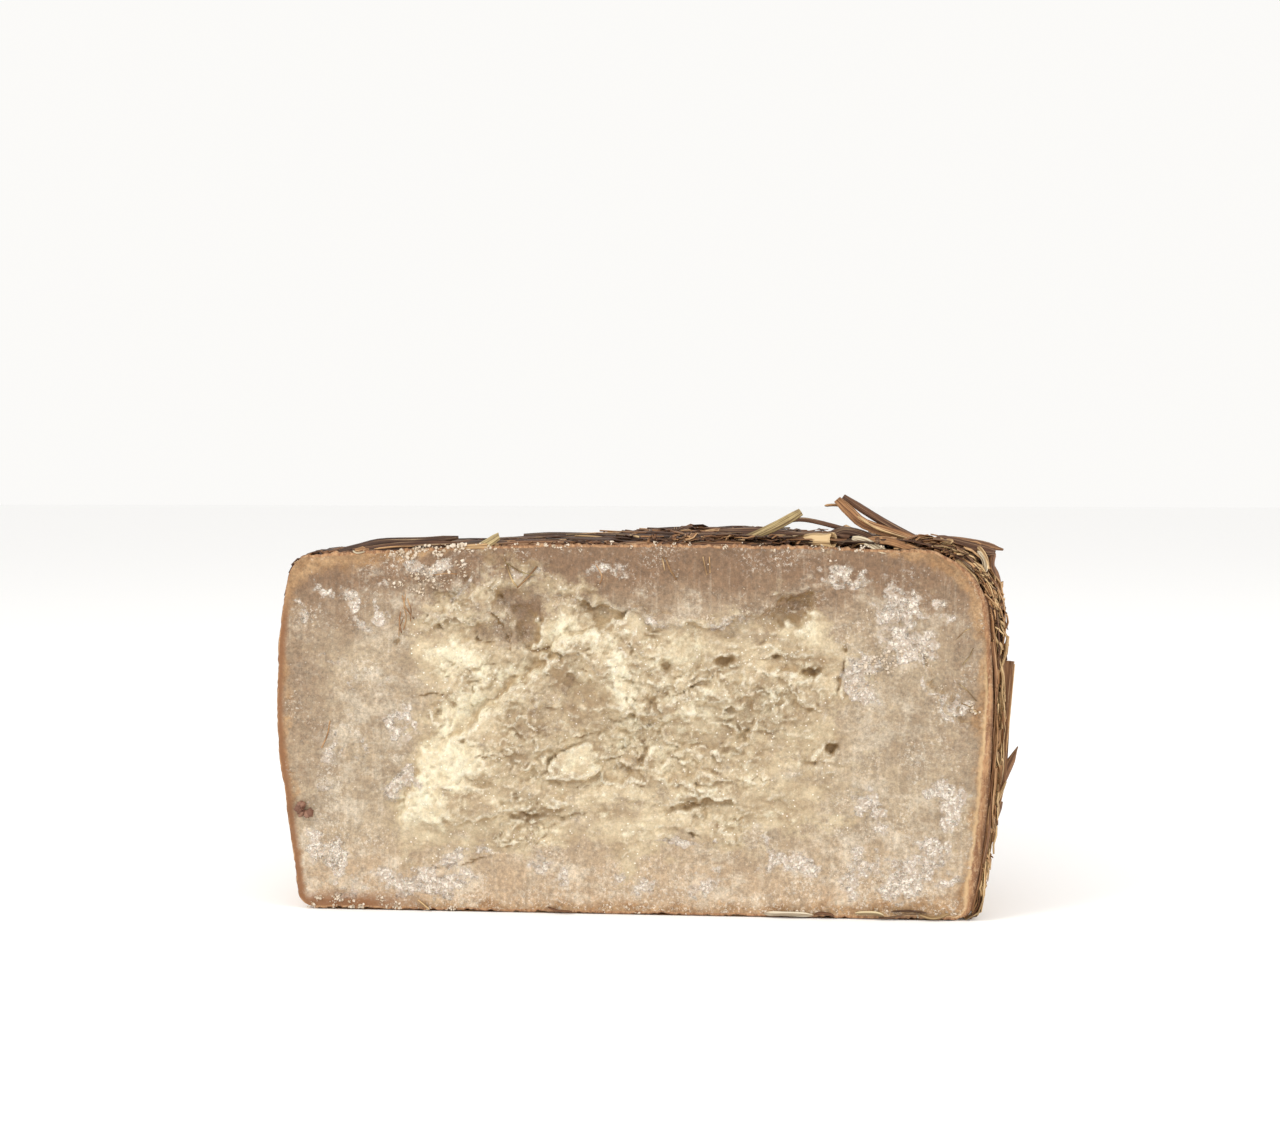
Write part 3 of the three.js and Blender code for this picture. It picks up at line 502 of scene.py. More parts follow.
def face_grid():
    """Points of the split face row by row, its relief, and what its colours use."""
    t = height_shares()
    u = np.linspace(-1, 1, FACE_COLUMNS)[None, :]
    s = u * (0.97 + 0.03 * u * u)
    right, left = both_radii(t)
    right = swollen(np.stack([right, 0 * right, t * RIGHT_EDGE_HEIGHT], -1))[..., 0]
    left = -swollen(np.stack([-left, 0 * left, t * LEFT_EDGE_HEIGHT], -1))[..., 0]
    x = np.where(s > 0, s * right, s * left)
    z = t * dome_height(np.abs(x), np.where(s > 0, RIGHT_EDGE_HEIGHT, LEFT_EDGE_HEIGHT))
    height, masks = face_relief(x, z)

    to_side, to_top = np.minimum((1 - s) * right, (1 + s) * left), (1 - t) * RIGHT_EDGE_HEIGHT
    to_level_edge = np.minimum(z, to_top)
    right_section = np.interp(z, (0, 8, 45, 62, 80, 104), (1.2, 2.4, 2.4, 1.7, 1.5, 1.8))
    section = lerp(LEFT_SECTION, right_section, smooth_step(40, 90, x))
    masks["rim"] = np.minimum(to_side / section, to_level_edge / LEVEL_SECTION)
    masks["amber"] = amber_amount(x, z, right, left)
    height = height * smooth_step(0, 2.5, np.minimum(to_side, to_level_edge))

    ragged = RAGGED_EDGE * (np.abs(noise(x / 1.7, 0 * z, 97)) + layered(x, 0 * z, (0.5, 0.7, 1, 98), (0.6, 5, 1, 99)))
    crumbly = 0.16 * np.abs(noise(z / 2.9, 0 * x, 100)) + layered(z, 0 * x, (0.12, 1.1, 1, 101), (0.25, 7, 1, 102))
    x = x - crumbly * smooth_step(1.6, 0, (1 + s) * left) * (s < 0)
    z = z + np.clip(ragged, 0, 1) * (smooth_step(1.6, 0, to_top) + 0.8 * smooth_step(1.6, 0, z))
    return np.stack([x, -height, z], -1), height, masks


def build_face(material):
    points, height, masks = face_grid()
    # Where the relief lies below or above its nearer and its wider surroundings: the paste paints shade in the
    # hollows and highlights on the lips from these.
    masks["hollow"] = height - softened(height, HOLLOW_BLUR)
    masks["deep"] = height - softened(height, DEEP_BLUR)
    lip = points[-1:] * [1, 0, 1] + [0, TURNED_IN, -0.06]
    foot = points[:1] * [1, 0, 1] + [0, TURNED_IN, 0.06]
    attributes = {key: np.concatenate([values[:1], values, values[-1:]]) for key, values in masks.items()}
    quads = grid_faces(len(points) + 2, FACE_COLUMNS)
    mesh_object("split_face", np.concatenate([foot, points, lip]), quads, material, attributes)
    return points


def build_rind(material, face_points):
    """The side, top and base, sharing the split face's outline."""
    t = height_shares()
    angle = np.linspace(0, np.pi, RIND_STEPS + 1)[None, :]
    share = smooth((1 - np.cos(angle)) / 2)
    r = lerp(*both_radii(t), share)
    edge = lerp(RIGHT_EDGE_HEIGHT, LEFT_EDGE_HEIGHT, share)
    side = swollen(around(angle, r, t * dome_height(r, edge)))
    side[:, 0] = face_points[:, -1]
    side[:, -1] = face_points[:, 0]
    ring = np.linspace(1, 0, CAP_RINGS + 1)[:, None]
    top = swollen(around(angle, r[-1] * ring, dome_height(r[-1] * ring, edge)))
    base = side[:1] * np.stack([ring, ring, 0 * ring + 1], -1)[::-1]
    points = np.concatenate([base, side, top])
    mesh_object("rind", points, grid_faces(len(points), RIND_STEPS + 1), material, {})


# ---- Hay ----

LEFT_THINNING = 0.75
LIGHTEST_PRESSED = 0.87
BOW_SHARE = 0.09
STATION_SPACING = 3.5
CUT_CLEARANCE, BASE_CLEARANCE, FLOOR_GAP = 0.1, 0.6, 0.03
# The cross-section of a flattened stem: places across it and how thick it is there.
ACROSS = np.array([-1, -0.45, 0.45, 1])
THICKNESS = np.array([0.4, 1, 1, 0.4])


def wheel_profile(edge_height, shoulder):
    """Radius and height from the middle of the top, down the side, to the middle of the base."""
    turn = shoulder / edge_height
    t = np.concatenate([[0], np.linspace(0.01, 0.05, 4), np.linspace(0.12, 1 - turn, 8),
                        1 - turn * (1 - np.sin(np.linspace(0, np.pi / 2, 8)[1:]))])
    r = rim_radius(t, edge_height, shoulder)
    flat = np.linspace(r[-1], 0, 6)[1:]
    z = np.concatenate([[0], t * dome_height(r, edge_height), dome_height(flat, edge_height)])
    return np.stack([np.concatenate([[0], r, flat]), z], -1)[::-1]


def rind_at(u, v):
    """The rind's surface at points of its unrolled map, whose middle is the middle of the top."""
    angle, reach = np.arctan2(v, u), np.hypot(u, v)
    found = []
    for edge_height, shoulder in ((RIGHT_EDGE_HEIGHT, RIGHT_SHOULDER), (LEFT_EDGE_HEIGHT, LEFT_SHOULDER)):
        profile = wheel_profile(edge_height, shoulder)
        lengths = np.concatenate([[0], np.cumsum(np.hypot(*np.diff(profile, axis=0).T))])
        found.append([np.interp(reach + d, lengths, profile[:, k]) for d in (-0.8, 0, 0.8) for k in (0, 1)])
    r0, z0, r, z, r1, z1 = [lerp(a, b, leftness(u, v)) for a, b in zip(*found)]
    along = np.stack([r1 - r0, z1 - z0])
    along = along / np.maximum(np.hypot(*along), 1e-9)
    return around(angle, r, z), around(angle, -along[1], along[0])


def unit(v):
    return v / np.maximum(np.linalg.norm(v, axis=-1, keepdims=True), 1e-9)


def spline(points, count):
    """A smooth curve through points, by Catmull and Rom's rule."""
    p = np.asarray(points, float)
    p = np.concatenate([[2 * p[0] - p[1]], p, [2 * p[-1] - p[-2]]])
    t = np.linspace(0, len(p) - 3, count)
    i = np.minimum(t.astype(int), len(p) - 4)
    f = (t - i)[:, None]
    a, b, c, d = (p[i + k] for k in range(4))
    return 0.5 * (2 * b + (c - a) * f + (2 * a - 5 * b + 4 * c - d) * f ** 2 + (3 * b - a - 3 * c + d) * f ** 3)


class Stems:
    """Flattened and round stems gathered into one mesh, each point with a tone and a place along and across."""

    def __init__(self, rng):
        self.rng = rng
        self.points, self.quads, self.shade, self.along, self.across = [], [], [], [], []
        self.count = 0

    def add_rings(self, rings, shade, along, across):
        """rings: stations by corners by 3. The ends are closed by a quad strip from side to side."""
        stations, corners = rings.shape[:2]
        i = np.arange(stations * corners).reshape(stations, corners) + self.count
        j = np.roll(i, -1, axis=1)
        self.points.append(rings.reshape(-1, 3))
        self.quads.append(np.stack([i[:-1], j[:-1], j[1:], i[1:]], -1).reshape(-1, 4))
        for row, order in ((i[0], -1), (i[-1], 1)):
            for k in range(corners // 2 - 1):
                self.quads.append([[row[k], row[k + 1], row[-2 - k], row[-1 - k]][::order]])
        self.shade.append(np.full(stations * corners, shade))
        self.along.append(np.repeat(along, corners))
        self.across.append(np.tile(across, stations))
        self.count += stations * corners

    def strip(self, path, normals, width, thickness, cup, taper, shade, twist=0.0):
        """A flattened stem, its cross-section slightly cupped, along path points."""
        tangent = unit(np.gradient(path, axis=0))
        across = unit(np.cross(normals, tangent))
        normal = np.cross(tangent, across)
        s = np.linspace(0, 1, len(path))
        cos, sin = np.cos(twist * (s - 0.5))[:, None], np.sin(twist * (s - 0.5))[:, None]
        across, normal = across * cos + normal * sin, normal * cos - across * sin
        half = width / 2 * np.interp(s, [0, 0.12, 0.85, 1], [taper[0], 1, 1, taper[1]])
        bend = cup * width * (1 - ACROSS ** 2) * 0.5
        low = path[:, None] + across[:, None] * (half[:, None] * ACROSS)[..., None] + normal[:, None] * bend[:, None]
        high = low + normal[:, None] * THICKNESS[:, None] * thickness
        length = np.concatenate([[0], np.cumsum(np.linalg.norm(np.diff(path, axis=0), axis=1))])
        both_sides = np.concatenate([ACROSS, ACROSS[::-1]]) * width / 2
        self.add_rings(np.concatenate([low, high[:, ::-1]], axis=1), shade, length, both_sides)

    def tube(self, path, radius, sides, shade, wall=None):
        """A round stem. With a wall it is hollow at its far end."""
        tangent = unit(np.gradient(path, axis=0))
        across = unit(np.cross(tangent, [0.3, 0.2, 0.93]))
        normal = np.cross(tangent, across)
        turn = np.arange(sides) * 2 * np.pi / sides
        radius = np.broadcast_to(radius, len(path))[:, None, None]
        circle = across[:, None] * np.cos(turn)[:, None] + normal[:, None] * np.sin(turn)[:, None]
        rings = path[:, None] + circle * radius
        if wall:
            inner = path[:, None] + circle * (radius - wall)
            rings = np.concatenate([rings, inner[-1:], inner[-3:-1][::-1]])
        self.add_rings(rings, shade, np.arange(len(rings)) * 2.0, np.cos(turn) * radius.max())

    def press(self, reach, angle, turn, length, width, lift, count, shade, across=False, crowding=1.0, bridge=False,
              fine=False, curl=0.0):
        """Stems pressed to the rind, across the top or down from its middle, cut off level with the split face.

        The pairs are the least and most of: reach from the middle of the top along the rind, degrees round the
        wheel, degrees off the way the stems run, length, width, how far they stand off, and tone.
        """
        rng = self.rng
        for _ in range(count):
            at = math.radians(lerp(*angle, rng.random() ** crowding))
            if across:
                r = math.sqrt(rng.uniform(reach[0] ** 2, reach[1] ** 2))
                main = 0 if rng.random() < 0.5 else math.pi
            else:
                r, main = rng.uniform(*reach), at
            heading = main + math.radians(rng.uniform(*turn))
            size = rng.uniform(*length)
            bow = size * BOW_SHARE * rng.uniform(-1, 1)
            thinning = 1 - LEFT_THINNING * smooth_step(0.35, 0.95, leftness(math.cos(at), math.sin(at)))
            top = rng.uniform(*lift) * thinning
            start = rng.uniform(0, 1) * top
            s = np.linspace(0, 1, max(5, int(size / STATION_SPACING)))
            u, v = turned((s - 0.5) * size, bow * np.sin(np.pi * s), -heading)
            point, normal = rind_at(r * math.cos(at) + u, r * math.sin(at) + v)
            keep = (point[:, 1] > CUT_CLEARANCE) & (point[:, 2] > BASE_CLEARANCE)
            if keep.sum() < 3:
                continue
            s, point, normal = s[keep], point[keep], normal[keep]
            rise = np.sin(np.pi * s) * top if bridge else lerp(start, top, smooth(s)) + 0.25 * np.sin(s * 9 + at * 7)
            rise = rise + curl * thinning * rng.uniform(0, 1) * np.sin(np.pi * s) ** 2
            path = point + normal * rise[:, None]
            # Stems that stand off less are toned darker: painted shade under and between the stems above them.
            tone = rng.uniform(*shade) * (1 if fine else 0.5 + 0.5 * top / (lift[1] * thinning))
            tone = min(LIGHTEST_PRESSED, tone)
            if fine:
                self.tube(path, rng.uniform(0.12, 0.3), 4, tone)
                continue
            facing = normal + 0.3 * rng.standard_normal(3) * (0.5 if bridge else 1)
            wide, thick, cup = rng.uniform(*width), rng.uniform(0.2, 0.5), rng.uniform(-0.25, 0.35)
            taper = rng.uniform(0.3, 1), rng.uniform(0.1, 1)
            self.strip(path, facing, wide, thick, cup, taper, tone, rng.uniform(-1, 1) * (0.7 + 2 * (curl > 0)))

    def finish(self, name, material):
        points = np.concatenate(self.points)
        points[:, 2] = np.maximum(points[:, 2], FLOOR_GAP)
        attributes = {key: np.concatenate(getattr(self, key)) for key in ("shade", "along", "across")}
        mesh_object(name, points, np.concatenate(self.quads), material, attributes)


# Stems that stand clear: line, the way they face, width, taper, tone (0 dark, 1 pale) and how hollow they are.
LOOSE_STEMS = {
    "raised front half": (((90, 8, 103.4), (82.5, 5, 106.2), (75.6, 5, 108.9), (66, 6, 112.1), (61.9, 7, 115.5),
        (58.2, 8, 119)), (0.2, -0.85, 0.45), 3.4, (1, 0.7), 0.5, -0.1),
    "raised back half": (((92, 10, 102), (82, 9, 107), (77.6, 9, 109.2), (71.7, 9.4, 112.4), (66.1, 10, 115.8),
        (60.1, 11, 119.8)), (0.3, -0.8, 0.5), 2.7, (1, 0.6), 0.24, 0.15),
    "raised sliver": (((80, 4.2, 107.4), (70, 4.6, 110.6), (64, 5.6, 114.2)), (0.2, -0.85, 0.45), 0.7, (0.6, 0.3),
        0.85, 0.1),
    "straw at the raised end": (((54.8, 9, 117.2), (57.5, 8.4, 117.4), (61, 8, 117)), (0, -0.9, 0.4), 0.8, (0.5,
        1), 0.7, 0.1),
    "upright stem": (((101, 3, 26), (104, 2.6, 40), (105, 2.4, 58), (106, 2.4, 73.8)), (0.12, -0.99, 0), 4.2,
        (0.6, 1), 0.38, -0.5),
    "upright lit edge": (((102.2, 1.6, 46), (103, 1.4, 58), (104, 1.4, 73.6)), (-0.3, -0.9, 0), 0.6, (0.4, 0.8),
        0.9, 0.1),
    "upright far edge": (((106, 1.8, 48), (106.9, 1.6, 60), (107.9, 1.6, 73)), (0.3, -0.9, 0), 0.5, (0.4, 0.8),
        0.76, 0.1),
    "side spike": (((98.6, 5.5, 24), (103.2, 5, 34), (105.6, 5, 40), (109.6, 5, 49.2)), (0.3, -0.95, 0), 2.6,
        (0.8, 0.05), 0.4, 0.1),
    "side stub": (((98, 7, 22), (102.4, 6, 27.6), (104.6, 6, 33.4)), (0.5, -0.86, 0), 3.8, (0.8, 0.8), 0.3, 0.1),
    "slanting straw": (((101.6, 2.4, 28), (103.4, 2.2, 33), (106.2, 2.2, 39.6)), (0, -1, 0), 0.9, (0.7, 0.5),
        0.88, 0.1),
    "corner spike": (((78, 16, 104.2), (88, 16, 107.2), (98, 15, 106.4), (105.8, 13, 104.4)), (0, -0.5, 0.85),
        3.4, (1, 0.1), 0.4, 0.1),
    "spike under it": (((99.6, 4, 88), (102.4, 5, 92.4), (105, 6, 96)), (0.4, -0.9, 0.2), 2.2, (0.8, 0.1), 0.55, 0.1),
    "small spike": (((95.6, 6, 84), (100.4, 7, 89.4), (104.9, 8, 95.4)), (0.4, -0.9, 0.2), 1.6, (0.8, 0.1), 0.3, 0.1),
    "rising straw": (((24, 6, 104.6), (33.5, 6, 108), (42, 7, 112), (48, 8.4, 115.4)), (0, -0.9, 0.4), 2.8, (1,
        0.8), 0.94, 0.1),
    "short front straw": (((-48, 3, 103.4), (-42.9, 1.4, 105.6), (-37.7, 0, 108.6)), (0, -0.8, 0.6), 3, (0.8,
        0.8), 0.945, 0.1),
    "papery piece": (((62.4, 2, 108.3), (66, 1, 107.4), (69, 0.8, 105.8), (72.4, 0.4, 104.2)), (0.1, -0.85, 0.5),
        2.2, (0.5, 0.3), 0.985, -0.2),
    "edge leaf": (((66, 3, 107.6), (72, 1.6, 107.6), (78, 1, 105.8), (84, 1.4, 103.4)), (0, -0.8, 0.6), 2.6, (0.4,
        0.3), 0.52, 0.2),
    "second edge leaf": (((74, 1, 105.4), (80, 0.7, 104.8), (87, 1, 102.8)), (0, -0.9, 0.4), 1.3, (0.3, 0.3),
        0.78, 0.1),
    "dark curl behind it": (((56, 6, 108.4), (60, 7, 110), (65, 6, 109.2), (70, 5, 106.8)), (0, -0.7, 0.7), 3.2,
        (0.6, 0.4), 0.12, 0.3),
    "long dark stem": (((42, 14, 112.2), (49.4, 12, 113), (62.4, 8, 110), (74, 6, 107)), (0, -0.8, 0.6), 1.5,
        (0.4, 0.6), 0.22, 0.2),
    "left flap": (((-46, 1.4, 104.6), (-36, 1, 105.8), (-24, 1.2, 106.4), (-14, 2.4, 106)), (0, -0.85, 0.5), 2.4,
        (0.2, 0.3), 0.34, 0.2),
    "left sliver": (((-56, 1, 104), (-44, 0.8, 104.4), (-30, 0.9, 105.2)), (0, -0.9, 0.4), 1, (0.3, 0.2), 0.3, 0.1),
    "left upper stem": (((-87, 2, 103), (-79, 2, 105), (-72, 2, 106.6), (-58.7, 2.4, 107), (-50, 3, 108)), (0,
        -0.9, 0.3), 2.4, (0.2, 0.4), 0.08, 0.2),
    "left middle stem": (((-84.3, 1.4, 103.2), (-76.6, 1.2, 104.4), (-67.7, 1, 105.6), (-58.7, 1.2, 106), (-49,
        1.6, 106.4)), (0, -0.95, 0.2), 2, (0.2, 0.4), 0.2, 0.2),
    "left lower stem": (((-94.6, 1, 102.2), (-85.6, 0.6, 102.5), (-77.5, 0.5, 103), (-70, 0.6, 103.8)), (0, -0.95,
        0.2), 0.8, (0.4, 0.2), 0.5, 0.1),
    "left dark stem": (((-80, 0.8, 103.4), (-72, 0.6, 104.4), (-62, 0.6, 105), (-54, 0.8, 105.4)), (0, -0.95,
        0.2), 1.4, (0.2, 0.3), 0.03, 0.1),
    "left pale curl": (((-80.2, 0.3, 104.2), (-78.9, 0.1, 103.6), (-76.6, 0.2, 104)), (0, -1, 0.1), 0.6, (0.4,
        0.3), 0.985, 0.1),
    "left golden sliver": (((-74, 0.3, 104.8), (-68, 0.1, 105.4), (-62, 0.2, 105.6)), (0, -1, 0.1), 0.5, (0.3,
        0.2), 0.7, 0.1),
    "left edge leaf": (((-51.6, 0.8, 105.2), (-47.6, 0.3, 105.4), (-42.7, 0.4, 105.7), (-38, 1, 106)), (0, -1,
        0.1), 1.6, (0.3, 0.4), 0.8, 0.2),
    "front flap": (((-6, 1, 105.8), (8, 0.9, 106.6), (20, 1.4, 106.2)), (0, -0.85, 0.5), 2, (0.2, 0.3), 0.36, 0.2),
    "right flap": (((14, 1.2, 106), (26, 0.9, 106.6), (38, 1.6, 105.8)), (0, -0.85, 0.5), 2.2, (0.3, 0.3), 0.3, 0.2),
    "corner curl": (((87, 7, 108.4), (90.2, 4, 107.2), (91.5, 3, 105), (93.3, 1.6, 102.6)), (0.5, -0.8, 0.3), 1.3,
        (0.6, 0.4), 0.9, 0.2),
    "corner shaving": (((91, 1.6, 102.4), (93.6, 1, 100), (96.2, 0.9, 97.4), (98, 1.6, 94)), (0.2, -0.95, 0.2),
        1.8, (0.3, 0.3), 0.84, 0.2),
    "second shaving": (((97, 3, 99.6), (99.3, 2, 96.2), (101.1, 2, 91.7), (101.6, 2, 86)), (0.3, -0.95, 0), 1.2,
        (0.4, 0.3), 0.96, 0.1),
    "corner hook": (((94, 5, 106.6), (97.6, 4.4, 106.8), (99.6, 4, 104), (99.4, 4, 100.4)), (0.2, -0.95, 0.1), 1,
        (0.5, 0.4), 0.62, 0.1),
    "corner back leaf": (((92, 9, 104.6), (98, 8, 103), (102.6, 8, 98), (103.4, 7, 91)), (0.4, -0.8, 0.4), 3.4,
        (0.5, 0.4), 0.34, 0.2),
    "corner roof leaf": (((86, 4, 108.2), (94, 3.5, 106.2), (102.5, 4, 104.2)), (0, -0.9, 0.3), 3, (0.6, 0.5),
        0.2, 0.1),
    "dark corner shred": (((93, 5, 105), (97, 4.5, 103.4), (101.5, 5, 101.8)), (0, -0.95, 0.2), 3.2, (0.5, 0.6),
        0.12, 0.1),
    "pale corner leaf": (((97.5, 2.6, 104.7), (99.1, 2, 102.7), (99.6, 1.8, 100.6), (99.4, 2, 98.5)), (-0.2,
        -0.95, 0.1), 1.5, (0.3, 0.4), 0.985, 0.2),
    "outer corner shred": (((102.2, 5, 104.2), (101.6, 4.5, 101), (102.4, 4.5, 97.5)), (0.3, -0.9, 0), 1.8, (0.7,
        0.5), 0.35, 0.1),
    "corner straw": (((88.8, 2.6, 108), (90, 2, 106.4), (91.4, 1.4, 104)), (0.3, -0.9, 0.2), 0.6, (0.6, 0.4), 0.9,
        0.1),
    "low corner shred": (((98.2, 1, 92.4), (98.9, 0.9, 90.6), (99.2, 0.9, 88.6)), (0, -1, 0), 0.8, (0.4, 0.3),
        0.98, 0.1),
    "inner corner shred": (((92.4, 1.4, 103), (95, 1, 101.4), (97, 1, 99.4)), (0, -1, 0.1), 1.4, (0.3, 0.3), 0.7,
        0.2),
    "golden splinter": (((100.2, 0.8, 46), (101.2, 0.7, 52), (101.9, 1.2, 58)), (0, -1, 0), 0.9, (0.3, 0.1), 0.87,
        0.1),
    "light splinter": (((100.6, 0.6, 64), (100.2, 0.6, 72), (99.6, 0.8, 79)), (0, -1, 0), 0.7, (0.3, 0.1), 0.88, 0.1),
    "papery base leaf": (((38, 0.4, 0.8), (42, -0.9, 1.2), (47, -1.1, 1.2), (52, -0.4, 0.8)), (0, -1, 0.1), 1.3,
        (0.3, 0.3), 0.99, 0.1),
    "base curl": (((52.4, -0.4, 1), (54, -0.9, 1.6), (56.4, -0.8, 1.3), (58, -0.4, 0.7)), (0, -1, 0.1), 0.8, (0.3,
        0.3), 0.3, 0.1),
    "pale base flake": (((64, -0.3, 1.6), (69.4, -0.8, 1.8), (72, -0.4, 1)), (0, -1, 0.1), 1.1, (0.4, 0.3), 0.975,
        0.1),
    "base twig": (((70.5, -0.9, 0.5), (74.4, -0.8, 0.7), (78.7, -0.6, 1.8), (82, -0.4, 1.6)), (0, -1, 0.1), 0.5,
        (0.5, 0.4), 0.15, 0.1),
    "last base flake": (((81.8, -0.4, 1.6), (86, -1, 0.8), (90.5, -0.4, 1.9)), (0, -1, 0.1), 1, (0.3, 0.3), 0.9, 0.1),
    "dark base chip": (((74, -0.2, 2.2), (79, -0.4, 2.6), (84, -0.3, 2.1)), (0, -1, 0.1), 0.5, (0.3, 0.3), 0.1, 0.1),
    "base straw": (((-62, -0.3, 3), (-59.8, -0.8, 1.4), (-58.6, -1, 0.4)), (0, -1, 0.1), 0.6, (0.6, 0.5), 0.88, 0.1),
    "second base straw": (((-24, -0.3, 1.6), (-21, -0.8, 0.8), (-17, -0.8, 0.6)), (0, -1, 0.1), 0.6, (0.6, 0.5),
        0.3, 0.1),
    "low splinter": (((97.8, 0.8, 12), (99.6, 0.6, 22), (100.8, 0.8, 31)), (0, -1, 0), 1, (0.3, 0.2), 0.2, 0.1),
}
# Hollow stems, seen at their cut ends: line, radius, tone.
HOLLOW_STEMS = {
    "hollow stem": (((46, 5.4, 107.4), (52, 2.2, 107.7), (57, -1, 107.9)), (1.5, 1.7, 2.1, 1.75, 2.15), 0.88),
    "light hollow stem": (((97, 4.6, 106.2), (98.4, 3.2, 104.8), (99.6, 2.2, 102.4), (100, 2.2, 99.8)), (0.7, 0.9,
        0.8), 0.88),
}
# Fibres lying on the split face: their line in x and z, radius and tone.
FACE_FIBRES = (
    (((-36.4, 102.4), (-34.6, 97), (-32.7, 93.8)), 0.24, 0.9), (((-32.7, 93.8), (-30, 96.4), (-27, 100)), 0.28, 0.8),
    (((-36, 101), (-32, 98.6), (-28, 97.4)), 0.16, 0.95), (((-65.9, 91.5), (-64.9, 88), (-62.6, 84.8)), 0.17, 0.6),
    (((-65, 92), (-65.4, 88), (-64.8, 85), (-65.6, 81.6)), 0.15, 0.55),
    (((-64.4, 90.6), (-63.4, 87.4), (-63.6, 84)), 0.14, 0.7),
    (((-66.4, 86.8), (-66.8, 83.6), (-66.2, 80.6)), 0.18, 0.5), (((-65.6, 85), (-66.8, 82), (-67, 79.6)), 0.13, 0.66),
    (((9.7, 102.8), (11, 99.4), (12.9, 96.4)), 0.26, 0.8), (((8.8, 103), (9.6, 99)), 0.16, 0.85),
    (((20.4, 103), (21, 100), (21.6, 97.8)), 0.22, 0.84), (((22.2, 103), (22.4, 98.4)), 0.2, 0.78),
    (((-57, 97.3), (-53, 97.8), (-50, 97.6)), 0.16, 0.55), (((-10, 100.6), (-8.4, 97.4), (-9, 95)), 0.18, 0.6),
    (((-90, 47), (-88.4, 50.6), (-87.4, 55)), 0.2, 0.7), (((98, 59), (95.6, 61), (93, 62)), 0.16, 0.9),
    (((92.6, 67.4), (95, 65.4), (97.4, 62.6)), 0.14, 0.93), (((93.4, 72.8), (95.2, 75), (96.4, 77.6)), 0.12, 0.93),
    (((91.6, 80), (94, 82.4), (95.6, 83)), 0.12, 0.9),
)
STRIP_STATIONS, TUBE_STATIONS = 16, 12


def build_top_hay(rng, material):
    hay = Stems(rng)
    # The top's stems are kept dark: partly dark hay, partly the painted shadow of the upper wedge, which is not
    # built.
    hay.press((2, 94), (-4, 176), (-40, 40), (14, 60), (0.8, 3), (0.2, 2.8), 400, (0, 0.2), across=True)
    hay.press((40, 96), (-2, 80), (-60, 60), (12, 40), (0.8, 2.8), (1, 3.8), 130, (0, 0.36), across=True)
    hay.press((2, 96), (-4, 178), (-90, 90), (5, 16), (0.6, 2.2), (0.3, 3.2), 300, (0, 0.45), across=True)
    hay.press((30, 98), (-2, 90), (-90, 90), (8, 22), (0.8, 2.4), (0.6, 3), 90, (0, 0.8), across=True, curl=3)
    for angle in ((0, 7), (7, 20), (173, 180)):
        hay.press((5, 99), angle, (-90, 90), (2, 8), (0.4, 1.7), (0.4, 3), 150, (0, 0.75))
    hay.finish("hay_on_top", material)


def build_side_hay(rng, material):
    hay = Stems(rng)
    hay.press((114, 196), (-1, 168), (-26, 26), (16, 60), (1.2, 4.6), (0.1, 2.4), 480, (0.5, 1.2), crowding=1.25)
    hay.press((110, 198), (-1, 172), (-90, 90), (5, 16), (0.8, 2.8), (0.2, 2.1), 330, (0.2, 1.1), crowding=1.25)
    hay.press((112, 196), (-1, 12), (-20, 20), (9, 30), (0.6, 1.8), (0.4, 3), 190, (0.5, 1.2))
    # The shoulder between the top and the side.
    hay.press((96, 116), (0, 100), (-40, 40), (18, 46), (1.2, 3.6), (1.2, 5), 80, (0, 0.9), crowding=2.2, bridge=True)
    hay.press((96, 118), (0, 60), (40, 130), (8, 30), (0.8, 2.6), (1.5, 4.5), 80, (0, 0.9), crowding=1.6)
    hay.press((98, 116), (0, 16), (-60, 60), (6, 18), (0.5, 1.8), (0.4, 4.5), 90, (0.1, 0.92), curl=2.5)
    # Short bits along the cut.
    hay.press((98, 196), (-1, 9), (-70, 70), (2, 8), (0.4, 1.7), (0.3, 3), 420, (0.3, 1.2))
    hay.press((86, 112), (-1, 9), (-90, 90), (3, 12), (0.4, 1.6), (0.4, 5), 260, (0.1, 1.1), curl=1.5)
    hay.press((86, 116), (-1, 3), (-60, 60), (3, 10), (0.3, 1.1), (1.5, 3.8), 190, (0.9, 1.3), curl=1)
    hay.press((112, 190), (-1, 3), (-30, 30), (4, 16), (0.3, 1.1), (1, 3), 150, (0.9, 1.3))
    hay.press((112, 196), (-1, 1.6), (-10, 10), (10, 40), (1, 2), (0.05, 0.7), 90, (0.5, 0.86))
    hay.finish("hay_on_side", material)


def build_loose_hay(rng, material):
    hay = Stems(rng)
    hay.press((2, 96), (-4, 176), (-70, 70), (14, 46), (1, 1), (1, 3.6), 190, (0.4, 1), across=True, fine=True)
    hay.press((96, 190), (-1, 150), (-50, 50), (12, 46), (1, 1), (0.8, 3), 210, (0.4, 1), crowding=1.5, fine=True)
    for line, faces, width, taper, tone, cup in LOOSE_STEMS.values():
        hay.strip(spline(line, STRIP_STATIONS), unit(np.array(faces, float)), width, 0.45, cup, taper, tone)
    for line, radii, tone in HOLLOW_STEMS.values():
        radius = np.interp(np.linspace(0, len(radii) - 1, TUBE_STATIONS), range(len(radii)), radii)
        hay.tube(spline(line, TUBE_STATIONS), radius, 16, tone, wall=0.3)
    for line, radius, tone in FACE_FIBRES:
        x, z = spline(line, TUBE_STATIONS).T
        height, _ = face_relief(x, z)
        hay.tube(np.stack([x, -height - 0.7 * radius, z], -1), radius, 5, tone)
    hay.finish("loose_hay", material)


# ---- Crumbs: small uneven lumps on the split face ----

